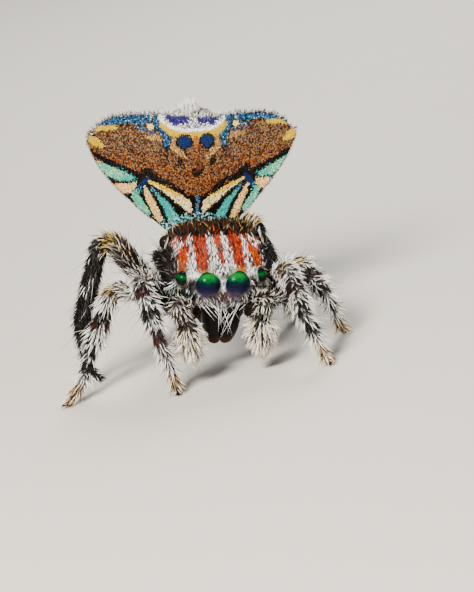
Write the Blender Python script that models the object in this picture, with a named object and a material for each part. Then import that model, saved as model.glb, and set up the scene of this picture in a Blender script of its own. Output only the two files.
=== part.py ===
"""Peacock spider: a still, life-size model of a displaying male.

The spider stands on eight feet with its head low, its palps hanging and its
abdomen raised upright behind the head, the two side flaps spread into a fan.

The shapes are worked out in millimetres and turned into metres at the end.
+X is the spider's left, -Y the way it faces and +Z up. The origin is on the
floor, under the middle of the whole spider.
"""

import math
import random

import bmesh
import bpy
from mathutils import Matrix, Vector
from mathutils.bvhtree import BVHTree

MM = 0.001  # one millimetre in metres
GAP = 0.015  # space between neighbouring pieces, mm
SEED = 2711

# Head: a frame at the middle of the front eye row. Local X is the spider's
# left, local Y forward and local Z up.
HEAD_AT = Vector((0.055, -0.088, 1.35))
HEAD_PITCH = 16.0  # degrees, nose down
HEAD_LEAN = 12.5  # degrees, crown toward the spider's left

# Carapace, along the head's local Y: half width, crown and lower edge.
CARAPACE_WIDTH = (
    (0.07, 0.34),
    (0.04, 0.48),
    (-0.03, 0.60),
    (-0.12, 0.67),
    (-0.40, 0.755),
    (-0.95, 0.80),
    (-1.30, 0.72),
    (-1.62, 0.46),
    (-1.78, 0.22),
)
CARAPACE_TOP = (
    (0.07, 0.14),
    (0.04, 0.20),
    (-0.03, 0.26),
    (-0.12, 0.30),
    (-0.40, 0.37),
    (-0.95, 0.44),
    (-1.18, 0.36),
    (-1.50, 0.08),
    (-1.78, -0.26),
)
CARAPACE_BOTTOM = ((0.07, -0.28), (0.0, -0.34), (-0.35, -0.44), (-0.95, -0.45), (-1.5, -0.44), (-1.78, -0.42))
CARAPACE_STATIONS = (0.07, 0.04, -0.03, -0.12, -0.26, -0.45, -0.70, -0.95, -1.14, -1.30, -1.46, -1.62, -1.78)
# Sternum, front to back: half width.
STERNUM = (
    (-0.36, 0.10),
    (-0.45, 0.17),
    (-0.62, 0.20),
    (-0.90, 0.24),
    (-1.20, 0.24),
    (-1.50, 0.17),
    (-1.64, 0.08),
)

# Eyes: local place on the left side and radius.
EYES = {
    "ame": ((0.21, -0.035, 0.0), 0.186),
    "ale": ((0.550, -0.125, 0.035), 0.112),
    "pme": ((0.662, -0.54, 0.165), 0.036),
    "ple": ((0.685, -0.95, 0.180), 0.105),
}

# Abdomen and fan: a frame at the foot of the upright abdomen. Local X runs
# across the fan, local Y up along the abdomen and local Z out of its back,
# which faces the same way as the head.
FAN_AT = Vector((-0.044, 1.852, 1.555))
FAN_ACROSS = Vector((0.984, -0.104, -0.142))
FAN_UP = Vector((0.127, -0.139, 0.982))
ABDOMEN_LENGTH = 2.0
# Abdomen, by height: half width, depth behind the middle and depth before it.
ABDOMEN_WIDTH = ((0.0, 0.22), (0.15, 0.44), (0.4, 0.56), (0.9, 0.62), (1.45, 0.60), (1.8, 0.46), (2.0, 0.26))
ABDOMEN_BELLY = ((0.0, 0.16), (0.15, 0.42), (0.4, 0.66), (0.9, 0.82), (1.4, 0.70), (1.75, 0.42), (2.0, 0.12))
ABDOMEN_BACK = ((0.0, 0.05), (0.2, 0.09), (0.9, 0.10), (1.8, 0.09), (2.0, 0.05))
ABDOMEN_STATIONS = (0.0, 0.05, 0.14, 0.3, 0.52, 0.8, 1.1, 1.38, 1.6, 1.78, 1.90, 1.97, 2.0)
ABDOMEN_MIDDLE = -0.10  # the middle's place in front of the fan's plane
PEDICEL_RADIUS = 0.065
FLAP_THICKNESS = 0.08
FLAP_REACH = {"right": 1.525, "left": 1.500}  # fan midline to the tip
FLAP_FULLNESS = {"right": 1.60, "left": 1.38}  # how far the lower edge bulges
FLAP_TIP_HEIGHT = {"right": 1.70, "left": 1.60}
FLAP_TOP_HEIGHT = {"right": 1.985, "left": 1.905}

# Legs: roots in the head's local axes, the same on both sides: the inner end
# of the coxa, then its outer end, where the leg turns up.
LEG_ROOTS = {
    "1": ((0.30, -0.64, -0.60), (0.72, -0.49, -0.62)),
    "2": ((0.30, -0.93, -0.60), (0.68, -0.93, -0.62)),
    "3": ((0.30, -1.21, -0.61), (0.71, -1.33, -0.81)),
    "4": ((0.27, -1.49, -0.59), (0.52, -1.78, -0.57)),
}
# Knee, end of tibia, end of metatarsus (world millimetres) and foot on the
# floor. Right is the spider's right.
LEG_JOINTS = {
    ("1", "right"): (
        (-1.060, 0.170, 1.590),
        (-1.037, -0.504, 0.956),
        (-0.950, -0.420, 0.465),
        (-0.932, -0.500),
    ),
    ("1", "left"): ((1.000, 0.110, 1.262), (1.075, -0.660, 0.780), (1.180, -0.560, 0.335), (1.264, -0.775)),
    ("2", "right"): ((-1.472, 0.771, 1.385), (-1.990, 0.520, 0.620), (-2.193, 0.340, 0.300), (-2.510, 0.200)),
    ("2", "left"): ((1.230, 1.060, 1.075), (1.498, 0.387, 0.720), (1.572, 0.510, 0.367), (1.671, 0.668)),
    ("3", "right"): ((-1.430, 1.050, 2.061), (-2.080, 0.970, 0.860), (-2.079, 1.100, 0.311), (-1.945, 1.165)),
    ("3", "left"): ((0.700, 1.760, 1.700), (0.960, 1.870, 0.620), (1.040, 1.940, 0.260), (1.160, 2.080)),
    ("4", "right"): ((-0.640, 2.480, 1.300), (-0.680, 3.010, 0.660), (-0.620, 3.190, 0.240), (-0.550, 3.370)),
    ("4", "left"): ((0.640, 2.480, 1.180), (0.740, 2.990, 0.620), (0.720, 3.180, 0.240), (0.680, 3.360)),
}
LEG_RADII = {  # coxa, femur, tibia, metatarsus, tarsus
    "1": (0.125, 0.150, 0.135, 0.088, 0.060),
    "2": (0.125, 0.140, 0.130, 0.082, 0.058),
    "3": (0.125, 0.150, 0.135, 0.078, 0.055),
    "4": (0.120, 0.125, 0.110, 0.070, 0.052),
}
FOOT_RADIUS = 0.045
LEG_SIDES = 8
SOCKET_CLEARANCE = 0.02  # between an eye and the bowl it sits in
BEND_RADIUS = 0.10  # least radius of a joint's bend
KNEE_REACH = 0.35  # how far from the knee a ring may cross its plane

# Palps: root, knee, wrist and end of the hand, world millimetres.
PALP_JOINTS = {
    "right": (
        (-0.420, 0.060, 0.930),
        (-0.640, -0.230, 1.215),
        (-0.590, -0.290, 0.960),
        (-0.592, -0.300, 0.560),
    ),
    "left": ((0.300, 0.090, 0.790), (0.600, -0.240, 1.010), (0.480, -0.280, 0.790), (0.405, -0.285, 0.420)),
}
PALP_RADII = (0.085, 0.095, 0.105, 0.125)

COLOURS = {  # name: (sRGB hex, roughness)
    "dark_cuticle": ("2a1d18", 0.55),
    "banded_cuticle": ("4a3a33", 0.60),
    "cream_setae": ("e9e0cc", 0.70),
    "fan_scales": ("9a5a30", 0.50),
    "belly_hair": ("6a5a4c", 0.80),
    "eye_lens": ("123a3a", 0.05),
    "jaw_cuticle": ("17110f", 0.25),
}


def linear(hex_colour):
    """An sRGB hex colour as linear RGBA."""
    channels = [int(hex_colour[i : i + 2], 16) / 255 for i in (0, 2, 4)]
    return [c / 12.92 if c <= 0.04045 else ((c + 0.055) / 1.055) ** 2.4 for c in channels] + [1.0]


def material(name):
    """The named Principled material, made once."""
    found = bpy.data.materials.get(name)
    if found:
        return found
    made = bpy.data.materials.new(name)
    made.use_nodes = True
    shader = made.node_tree.nodes["Principled BSDF"]
    colour, roughness = COLOURS[name]
    shader.inputs["Base Color"].default_value = linear(colour)
    shader.inputs["Roughness"].default_value = roughness
    shader.inputs["Metallic"].default_value = 0.0
    return made


def new_object(name, bm, collection):
    """An object made from a bmesh, with its faces turned outward."""
    bmesh.ops.recalc_face_normals(bm, faces=bm.faces)
    if bm.calc_volume(signed=True) < 0:
        bmesh.ops.reverse_faces(bm, faces=bm.faces)
    mesh = bpy.data.meshes.new(name)
    bm.to_mesh(mesh)
    bm.free()
    made = bpy.data.objects.new(name, mesh)
    collection.objects.link(made)
    return made


class Frame:
    """A set of square axes at a point."""

    def __init__(self, at, x_axis, y_axis, z_axis):
        self.at = at.copy()
        self.x = x_axis.normalized()
        self.y = (y_axis - self.x * y_axis.dot(self.x)).normalized()
        self.z = (z_axis - self.x * z_axis.dot(self.x) - self.y * z_axis.dot(self.y)).normalized()

    def point(self, x, y, z):
        return self.at + self.x * x + self.y * y + self.z * z

    def direction(self, x, y, z):
        return (self.x * x + self.y * y + self.z * z).normalized()


def head_frame():
    """The head's own axes: pitched nose down, then leaning to one side about its nose."""
    pitch = Matrix.Rotation(math.radians(HEAD_PITCH), 3, "X")
    left, forward, up = Vector((1, 0, 0)), pitch @ Vector((0, -1, 0)), pitch @ Vector((0, 0, 1))
    lean = Matrix.Rotation(math.radians(HEAD_LEAN), 3, -forward)
    return Frame(HEAD_AT, lean @ left, forward, lean @ up)


HEAD = head_frame()
FAN = Frame(FAN_AT, FAN_ACROSS, FAN_UP, FAN_ACROSS.cross(FAN_UP))


def loft(rings):
    """A closed bmesh skinned over rings of points of equal count."""
    bm = bmesh.new()
    rows = [[bm.verts.new(p) for p in ring] for ring in rings]
    for low, high in zip(rows, rows[1:]):
        for i in range(len(low)):
            j = (i + 1) % len(low)
            bm.faces.new((low[i], low[j], high[j], high[i]))
    for row in (rows[0], rows[-1]):
        middle = bm.verts.new(sum((v.co for v in row), Vector()) / len(row))
        for i in range(len(row)):
            bm.faces.new((row[i], row[(i + 1) % len(row)], middle))
    return bm


def signed_power(value, power):
    return math.copysign(abs(value) ** power, value)


def superellipse(sides, half_x, up, down, squareness, below=None):
    """Points of a rounded outline, with its own reach and squareness above and below."""
    points = []
    for i in range(sides):
        angle = 2 * math.pi * (i + 0.5) / sides
        power = 2 / (squareness if math.sin(angle) > 0 else below or squareness)
        x = half_x * signed_power(math.cos(angle), power)
        z = signed_power(math.sin(angle), power)
        points.append((x, z * (up if z > 0 else down)))
    return points


def ease(table, at):
    """The value at a place in a table of (place, value) rows, smoothly joined."""
    for (a, low), (b, high) in zip(table, table[1:]):
        if at <= b:
            t = min(max((at - a) / (b - a), 0), 1)
            t = t * t * (3 - 2 * t) if b - a > 0.3 else t
            return low + (high - low) * t
    return table[-1][1]


def along_head(table, y):
    """The value at a place along the head in a table whose rows run from front to back."""
    return ease([(-place, value) for place, value in table], -y)


class Path:
    """A chain of joints whose corners are rounded, wide enough for a tube of each joint's radius."""

    def __init__(self, joints, radii=(), steps=4):
        joints = [Vector(p) for p in joints]
        self.points = [joints[0]]
        for i, (before, corner, after) in enumerate(zip(joints, joints[1:], joints[2:])):
            back, on = before - corner, after - corner
            half = back.angle(on) / 2
            bend = max(BEND_RADIUS, 1.3 * radii[i] if radii else 0.0)
            bend = min(bend, math.tan(half) * 0.48 * min(back.length, on.length))
            inward = (back.normalized() + on.normalized()).normalized()
            corner = corner - inward * (bend / math.sin(half) - bend)
            centre = corner + inward * (bend / math.sin(half))
            reach = bend / math.tan(half)
            start = corner + (before - corner).normalized() * reach - centre
            end = corner + (after - corner).normalized() * reach - centre
            sweep = start.angle(end)
            for k in range(steps + 1):
                share = k / steps
                arm = start * math.sin((1 - share) * sweep) + end * math.sin(share * sweep)
                self.points.append(centre + arm / math.sin(sweep))
        self.points.append(joints[-1])
        self.places = [0.0]
        for a, b in zip(self.points, self.points[1:]):
            self.places.append(self.places[-1] + (b - a).length)
        self.length = self.places[-1]
        # Where each joint's bend has its middle.
        middles = [1 + i * (steps + 1) + steps // 2 for i in range(len(joints) - 2)]
        self.joints = [0.0] + [self.places[i] for i in middles] + [self.length]

    def at(self, place):
        """The point and the unit tangent at a distance along the path."""
        place = min(max(place, 0.0), self.length)
        for i in range(len(self.points) - 1):
            if place <= self.places[i + 1] or i == len(self.points) - 2:
                a, b = self.points[i], self.points[i + 1]
                t = (place - self.places[i]) / max(self.places[i + 1] - self.places[i], 1e-9)
                return a.lerp(b, t), (b - a).normalized()
        return self.points[-1], (self.points[-1] - self.points[-2]).normalized()

    def tangent(self, place):
        """The tangent averaged over a short stretch. It is the same just before and after a joint."""
        place = next((joint for joint in self.joints[1:-1] if abs(place - joint) <= GAP), place)
        return (self.at(place + 0.03)[0] - self.at(place - 0.03)[0]).normalized()

    def behind(self, point, joint, before):
        """The point, moved if need be to half a gap from the joint's plane, before it or after it."""
        normal = self.tangent(joint) * (1 if before else -1)
        over = (point - self.at(joint)[0]).dot(normal) + GAP / 2
        return point - normal * over if over > 0 else point

    def side(self, place):
        """A direction square to the path that turns with it, in the bend's plane."""
        normal = (self.points[-1] - self.points[0]).cross(Vector((0, 0, 1)))
        if normal.length < 0.05:
            normal = Vector((1, 0, 0))
        tangent = self.tangent(place)
        return (normal - tangent * normal.dot(tangent)).normalized()


def tube(path, places, radii, sides=LEG_SIDES, deep=1.0, flat_end=None, knee=None):
    """A closed tube along part of a path.

    A flat end lies level at its height. Rings near the knee stay on the tube's
    own side of it, half a gap away, however sharp the bend.
    """
    rings = []
    for place, radius in zip(places, radii):
        centre, _ = path.at(place)
        tangent, side = path.tangent(place), path.side(place)
        up = tangent.cross(side)
        ring = []
        for i in range(sides):
            angle = 2 * math.pi * (i + 0.5) / sides
            ring.append(centre + side * (radius * math.cos(angle)) + up * (radius * deep * math.sin(angle)))
        if knee is not None and abs(place - knee) < KNEE_REACH:
            ring = [path.behind(p, knee, place < knee) for p in ring]
        rings.append(ring)
    if flat_end is not None:
        middle = path.at(places[-1])[0]
        middle.z = flat_end
        flat = [Vector((p.x, p.y, flat_end)) - middle for p in rings[-1]]
        spread = max(p.length for p in flat)
        rings[-1] = [middle + p * (FOOT_RADIUS / spread) for p in flat]
    return loft(rings)


def lock(root, along, outward, length, width, curl):
    """A flat, tapered, bent lock of bristles, sunk at its root, and its points for the clearance test."""
    along, across = along.normalized(), along.cross(outward).normalized()
    lift = across.cross(along)
    rings, tests = [], []
    for place, share in ((-0.20, 0.60), (0.24, 1.0), (0.68, 0.74)):
        centre = root + along * (length * place) + lift * (curl * length * place * abs(place))
        half = width * share / 2
        sides = (across * half, lift * half * 0.36)
        rings.append([centre + sides[0], centre + sides[1], centre - sides[0], centre - sides[1]])
        if place > 0:
            tests.append((centre, half))
    bm = loft(rings)
    bm.verts.ensure_lookup_table()
    tip = root + along * length + lift * (curl * length)
    bm.verts[-1].co = tip
    tests += [((tests[-1][0] + tip) / 2, width * 0.2), (tip, 0.0)]
    return bm, tests


def ball(name, centre, radius, collection, across, rings):
    """A sphere whose pole looks forward."""
    bm = bmesh.new()
    bmesh.ops.create_uvsphere(bm, u_segments=across, v_segments=rings, radius=radius)
    turn = HEAD.y.to_track_quat("Z", "Y").to_matrix().to_4x4()
    bmesh.ops.transform(bm, matrix=Matrix.Translation(centre) @ turn, verts=bm.verts)
    return new_object(name, bm, collection)


def keep_largest(obj):
    """Only the largest closed surface stays, which drops scraps and sealed hollows."""
    bm = bmesh.new()
    bm.from_mesh(obj.data)
    left, shells = set(bm.verts), []
    while left:
        stack, shell = [left.pop()], []
        while stack:
            vert = stack.pop()
            shell.append(vert)
            for edge in vert.link_edges:
                other = edge.other_vert(vert)
                if other in left:
                    left.remove(other)
                    stack.append(other)
        shells.append(shell)
    shells.sort(key=len, reverse=True)
    for shell in shells[1:]:
        bmesh.ops.delete(bm, geom=shell, context="VERTS")
    bmesh.ops.triangulate(bm, faces=bm.faces)
    bm.to_mesh(obj.data)
    bm.free()


def boolean(obj, pieces, operation, solver="EXACT"):
    """Joins or cuts obj with a collection of closed pieces, and removes the pieces."""
    group = bpy.data.collections.new("pieces of " + obj.name)
    bpy.context.scene.collection.children.link(group)
    for piece in pieces:
        for old in piece.users_collection:
            old.objects.unlink(piece)
        group.objects.link(piece)
    modifier = obj.modifiers.new(operation.title(), "BOOLEAN")
    modifier.operation = operation
    modifier.operand_type = "COLLECTION"
    modifier.collection = group
    modifier.solver = solver
    bpy.context.view_layer.update()
    result = bpy.data.meshes.new_from_object(obj.evaluated_get(bpy.context.evaluated_depsgraph_get()))
    obj.modifiers.clear()
    old_mesh = obj.data
    obj.data = result
    bpy.data.meshes.remove(old_mesh)
    for piece in list(group.objects):
        mesh = piece.data
        bpy.data.objects.remove(piece)
        bpy.data.meshes.remove(mesh)
    bpy.data.collections.remove(group)
    keep_largest(obj)


class Spider:
    """Builds every node and keeps what has been built for the clearance tests."""

    def __init__(self):
        for obj in list(bpy.data.objects):
            bpy.data.objects.remove(obj)
        self.parts = bpy.data.collections.new("peacock_spider")
        self.cutters = bpy.data.collections.new("cutters")
        for collection in (self.parts, self.cutters):
            bpy.context.scene.collection.children.link(collection)
        self.random = random.Random(SEED)
        self.roots = {}
        self.limbs = {}  # each limb's path and its radius along it
        self.trees = {}

    def add(self, name, bm, root, material_name):
        obj = new_object(name, bm, self.parts)
        obj.data.materials.append(material(material_name))
        self.roots[name] = root.copy()
        return obj

    def carapace(self):
        """The head and thorax shield: square face, flat crown, steep rear slope."""
        rings = []
        for y in CARAPACE_STATIONS:
            tables = (CARAPACE_WIDTH, CARAPACE_TOP, CARAPACE_BOTTOM)
            half, high, low = (along_head(table, y) for table in tables)
            middle = high * 0.4 + low * 0.6 + 0.03
            outline = superellipse(22, half, high - middle, middle - low, 2.35, 2.0)
            rings.append([HEAD.point(x, y, middle + z) for x, z in outline])
        return self.add("carapace", loft(rings), HEAD.point(0, CARAPACE_STATIONS[-1], -0.34), "dark_cuticle")

    def sternum(self):
        """The plate between the leg roots, with the mouthparts in front of it."""
        rings = []
        for y, half in STERNUM:
            outline = superellipse(12, half, 0.06, 0.09, 2.4)
            rings.append([HEAD.point(x, y, -0.52 - GAP + z) for x, z in outline])
        return self.add("sternum", loft(rings), HEAD.point(0, -1.0, -0.5), "dark_cuticle")

    def pedicel(self):
        """The short stalk from the carapace's rear up into the foot of the abdomen."""
        start = HEAD.point(0, CARAPACE_STATIONS[-1] - 3 * GAP, -0.36)
        joints = (start, FAN.point(0, -0.20, -0.20), FAN.point(0, -1.5 * GAP, -0.22))
        axis = Path(joints, (PEDICEL_RADIUS * 0.6,))
        places = (0, axis.length * 0.35, axis.joints[1], axis.length)
        radii = [PEDICEL_RADIUS * share for share in (1.1, 0.95, 0.95, 1.0)]
        return self.add("pedicel", tube(axis, places, radii, 10), start, "dark_cuticle")

    def abdomen(self):
        """The raised abdomen: a flat patterned back and a rounded belly."""
        rings = []
        for y in ABDOMEN_STATIONS:
            end = 0.55 if y in (0.0, ABDOMEN_LENGTH) else 1.0
            tables = (ABDOMEN_WIDTH, ABDOMEN_BACK, ABDOMEN_BELLY)
            half, back, belly = (ease(table, y) * end for table in tables)
            outline = superellipse(22, half, back, belly, 2.2)
            rings.append([FAN.point(x, y, ABDOMEN_MIDDLE + z) for x, z in outline])
        return self.add("abdomen", loft(rings), FAN.point(0, 0.05, -0.3), "fan_scales")

    def flap(self, side):
        """One flap of the fan: a thin plate out of the abdomen's edge, curling a little forward."""
        sign = 1 if side == "left" else -1
        reach, tip, top = FLAP_REACH[side], FLAP_TIP_HEIGHT[side], FLAP_TOP_HEIGHT[side]
        foot = 0.16
        rows, columns = 15, 5

        def outer(t):
            """The free edge: from the foot out along the lower side, round the tip and along the top."""
            if t < 0.6:
                rise = t / 0.6
                x = 0.46 + (reach - 0.46) * (1 - (1 - rise) ** FLAP_FULLNESS[side])
                return x, foot + (tip - foot) * rise
            if t < 0.85:
                turn = (t - 0.6) / 0.25
                return reach - 0.5 * turn, tip + (top - tip) * (1 - (1 - turn) ** 2.2)
            return reach - 0.5 - (reach - 0.82) * (t - 0.85) / 0.15, top

        def inner(t):
            """The hinge line, just clear of the abdomen's edge."""
            y = foot + (top - 0.02 - foot) * t
            return ease(ABDOMEN_WIDTH, y) + GAP * 1.3, y

        grid = []
        for i in range(rows + 1):
            t = i / rows
            (ox, oy), (ix, iy) = outer(t), inner(t)
            ox = max(ox, ix + 0.012)
            row = []
            for j in range(columns + 1):
                s = (j / columns) ** 0.85
                x, y = ix + (ox - ix) * s, iy + (oy - iy) * s
                curl = 0.11 * max(x - 0.6, 0) ** 2
                row.append((x * sign, y, ABDOMEN_MIDDLE + curl))
            grid.append(row)
        bm = bmesh.new()
        layers = []
        for shift in (0.5, -0.5):
            layer = []
            for i, row in enumerate(grid):
                made = []
                for j, (x, y, z) in enumerate(row):
                    rim = 0.45 if j == columns or i in (0, rows) else 1.0
                    made.append(bm.verts.new(FAN.point(x, y, z + shift * FLAP_THICKNESS * rim)))
                layer.append(made)
            layers.append(layer)
        for layer in layers:
            for i in range(rows):
                for j in range(columns):
                    bm.faces.new((layer[i][j], layer[i][j + 1], layer[i + 1][j + 1]))
                    bm.faces.new((layer[i][j], layer[i + 1][j + 1], layer[i + 1][j]))
        front, rear = layers
        edge = [(i, 0) for i in range(rows)] + [(rows, j) for j in range(columns)]
        edge += [(i, columns) for i in range(rows, 0, -1)] + [(0, j) for j in range(columns, 0, -1)]
        for (a, b), (c, d) in zip(edge, edge[1:] + edge[:1]):
            bm.faces.new((front[a][b], front[c][d], rear[c][d], rear[a][b]))
        return self.add("fan_flap_" + side, bm, FAN.point(0.6 * sign, 1.0, ABDOMEN_MIDDLE), "fan_scales")

    def spinnerets(self):
        """The small cluster at the abdomen's end, under its white tuft."""
        start = ABDOMEN_LENGTH + GAP
        rings = []
        for y, radius in ((start, 0.12), (start + 0.025, 0.115), (start + 0.05, 0.07)):
            outline = superellipse(10, radius, radius * 0.55, radius * 0.55, 2.0)
            rings.append([FAN.point(x, y, ABDOMEN_MIDDLE - 0.03 + z) for x, z in outline])
        return self.add("spinnerets", loft(rings), FAN.point(0, start, -0.13), "cream_setae")

    def chelicera(self, side):
        """One jaw: a stout base with its folded fang at the tip."""
        sign = 1 if side == "left" else -1
        rings = []
        for z, x, half_x, half_y in (
            (-0.410, 0.150, 0.100, 0.10),
            (-0.46, 0.155, 0.132, 0.140),
            (-0.56, 0.155, 0.140, 0.155),
            (-0.72, 0.137, 0.122, 0.135),
            (-0.86, 0.108, 0.094, 0.105),
            (-0.94, 0.080, 0.060, 0.070),
            (-1.00, 0.055, 0.024, 0.030),
        ):
            outline = superellipse(12, half_x, half_y, half_y, 2.2)
            rings.append([HEAD.point((x * sign) + a, -0.04 + b, z) for a, b in outline])
        inside = HEAD.point(0.15 * sign, -0.06, -0.37)
        return self.add("chelicera_" + side, loft(rings), inside, "jaw_cuticle")

    def palp(self, side):
        """One palp, up to its knee and down to the hand."""
        path = Path(PALP_JOINTS[side], PALP_RADII[1:3])
        knee, wrist = path.joints[1], path.joints[2]
        base, femur, tibia, hand = PALP_RADII
        places = [0, 0.06, knee * 0.5, knee - 0.06, knee, knee + 0.06]
        places += [(knee + wrist) / 2, wrist - 0.04, wrist]
        radii = [base * 0.7, base, femur, femur * 0.95, femur * 0.95, tibia * 0.95]
        radii += [tibia, tibia * 0.95, hand * 0.85]
        places += [wrist + 0.08, wrist + 0.22, path.length - 0.06, path.length]
        radii += [hand * 1.05, hand * 1.1, hand * 0.8, hand * 0.45]
        table = list(zip(places, radii))
        self.limbs["palp_" + side] = (path, lambda place: ease(table, place))
        return self.add("palp_" + side, tube(path, places, radii), path.points[0], "cream_setae")

    def leg(self, number, side):
        """A leg in two pieces that meet at the knee, standing on a small flat foot."""
        sign = 1 if side == "left" else -1
        joints = [HEAD.point(x * sign, y, z) for x, y, z in LEG_ROOTS[number]]
        *bends, foot = LEG_JOINTS[(number, side)]
        joints += [Vector(p) for p in bends] + [Vector((*foot, 0.0))]
        coxa, femur, tibia, metatarsus, tarsus = LEG_RADII[number]
        path = Path(joints, (coxa, femur, metatarsus, tarsus))
        turn, knee, ankle, heel = path.joints[1:5]
        upper_places = [0, 0.04, turn * 0.6, turn - 0.06, turn + 0.03, turn + 0.12, (turn + knee) / 2]
        upper_radii = [coxa * 0.75, coxa, coxa, coxa * 0.86, femur * 0.84, femur * 0.98, femur]
        upper_places += [knee - 0.16, knee - 0.08, knee - GAP / 2]
        upper_radii += [femur * 0.9, femur * 0.86, femur * 0.84]
        name = f"leg_{number}_{side}"
        upper = tube(path, upper_places, upper_radii, deep=1.12, knee=knee)
        self.add(name + "_femur", upper, path.points[0], "banded_cuticle")
        span = ankle - knee
        lower_places = [knee + GAP / 2, knee + 0.08, knee + 0.16, knee + 0.30]
        lower_places += [knee + span * 0.55, ankle - 0.14]
        lower_radii = [femur * 0.84, femur * 0.86, tibia * 0.98, tibia * 0.9, tibia, tibia * 0.86]
        lower_places += [ankle - 0.03, ankle + 0.06]
        lower_radii += [metatarsus * 1.05, metatarsus * 0.95]
        lower_places += [(ankle + heel) / 2, heel - 0.04, heel + 0.05, (heel + path.length) / 2]
        lower_places += [path.length - 0.06, path.length]
        lower_radii += [metatarsus, metatarsus * 0.85, tarsus, tarsus * 1.05, tarsus * 0.85, FOOT_RADIUS]
        lower = tube(path, lower_places, lower_radii, flat_end=0.0, knee=knee)
        self.add(name + "_tibia", lower, path.at(knee)[0], "banded_cuticle")
        table = list(zip(upper_places + lower_places, upper_radii + lower_radii))
        self.limbs[name] = (path, lambda place: ease(table, place))

    def clear(self, name, tests):
        """Whether a lock stays clear of every other node and of the floor."""
        for centre, half in tests:
            if centre.z - half * 0.5 < 0.012:
                return False
            for other, tree in self.trees.items():
                if other != name and tree.find_nearest(centre, half + 0.02)[0] is not None:
                    return False
        return True

    def plant(self, obj, roots):
        """Fuses locks into a node: a root is a place, direction, outward side, length, width and curl."""
        pieces = []
        for root, along, outward, length, width, curl in roots:
            for share in (1.0, 0.8, 0.62):
                bm, tests = lock(root, along, outward, length * share, width * min(1, share * 1.15), curl)
                if self.clear(obj.name, tests):
                    pieces.append(new_object("lock", bm, self.cutters))
                    break
                bm.free()
        if pieces:
            boolean(obj, pieces, "UNION")
        self.trees[obj.name] = self.tree(obj)

    @staticmethod
    def tree(obj):
        bm = bmesh.new()
        bm.from_mesh(obj.data)
        found = BVHTree.FromBMesh(bm)
        bm.free()
        return found

    def limb_roots(self, path, radius_at, start, end, step, around, length, width, splay):
        """Places for locks in rings round a limb, lying toward its tip, each ring turned on from the last."""
        vary = self.random.uniform
        place, turn = start, vary(0, 1)
        while place < end:
            for i in range(around):
                angle = 2 * math.pi * (i + turn + vary(-0.12, 0.12)) / around
                at = place + vary(-0.25, 0.25) * step
                centre, tangent = path.at(at)[0], path.tangent(at)
                side = path.side(at)
                outward = side * math.cos(angle) + tangent.cross(side) * math.sin(angle)
                lift = math.radians(splay * vary(0.75, 1.3))
                along = tangent * math.cos(lift) + outward * math.sin(lift)
                root = centre + outward * (radius_at(at) * 0.80)
                size = (length * vary(0.85, 1.15), width * vary(0.85, 1.15))
                yield root, along, outward, *size, vary(-0.16, 0.02)
            place += step
            turn += 0.5 + vary(-0.1, 0.1)

    def leg_coat(self, number, side):
        """Banded bristles: wide locks on femur and tibia, small ones down to the foot."""
        name = f"leg_{number}_{side}"
        path, radius_at = self.limbs[name]
        turn, knee, ankle, heel = path.joints[1:5]
        few = 1.8 if number == "4" else 1.0
        femur = self.limb_roots(path, radius_at, turn + 0.10, knee - 0.14, 0.27 * few, 3, 0.29, 0.15, 24)
        self.plant(bpy.data.objects[name + "_femur"], femur)
        start, end = knee + 0.17, ankle - 0.06
        tibia = list(self.limb_roots(path, radius_at, start, end, 0.26 * few, 3, 0.34, 0.16, 25))
        tibia += self.limb_roots(path, radius_at, ankle + 0.05, heel - 0.04, 0.24 * few, 3, 0.24, 0.11, 24)
        start, end = heel + 0.07, path.length - 0.15
        tibia += self.limb_roots(path, radius_at, start, end, 0.24 * few, 3, 0.17, 0.08, 18)
        self.plant(bpy.data.objects[name + "_tibia"], tibia)

    def palp_coat(self, side):
        """The pale brush: rows of locks that fan down and out from the hand."""
        name = "palp_" + side
        path, radius_at = self.limbs[name]
        knee, wrist = path.joints[1:3]
        roots = list(self.limb_roots(path, radius_at, knee + 0.03, wrist, 0.15, 3, 0.20, 0.11, 30))
        roots += self.limb_roots(path, radius_at, wrist + 0.06, path.length - 0.02, 0.13, 5, 0.30, 0.145, 31)
        self.plant(bpy.data.objects[name], roots)

    def crest_coat(self):
        """Overlapping dark locks that lie back along the crown, behind the face."""
        vary, roots = self.random.uniform, []
        for row, y in enumerate((-0.76, -0.92)):
            for i in range(6):
                x = (i - 2.5) * 0.19 + row * 0.08 + vary(-0.02, 0.02)
                z = 0.425 - 0.42 * abs(x) ** 2.4
                outward = HEAD.direction(x * 1.1, -0.1, 1)
                along = HEAD.direction(x * 0.7, -1.0, 0.42)
                root = HEAD.point(x, y + vary(-0.03, 0.03), z)
                roots.append((root, along, outward, 0.24 * vary(0.85, 1.2), 0.17, vary(-0.1, 0.05)))
        self.plant(bpy.data.objects["carapace"], roots)

    def tuft_coat(self):
        """The white tuft that stands up round the spinnerets."""
        vary, roots = self.random.uniform, []
        for i in range(10):
            angle = 2 * math.pi * (i + vary(-0.15, 0.15)) / 10
            x, z = math.cos(angle), math.sin(angle)
            outward = FAN.direction(x, 0.0, z)
            along = FAN.direction(x * 0.95, 0.75, z * 0.7)
            root = FAN.point(x * 0.085, ABDOMEN_LENGTH + GAP + 0.032, ABDOMEN_MIDDLE - 0.03 + z * 0.04)
            roots.append((root, along, outward, 0.14 * vary(0.8, 1.2), 0.07, vary(-0.3, -0.1)))
        self.plant(bpy.data.objects["spinnerets"], roots)

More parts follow.
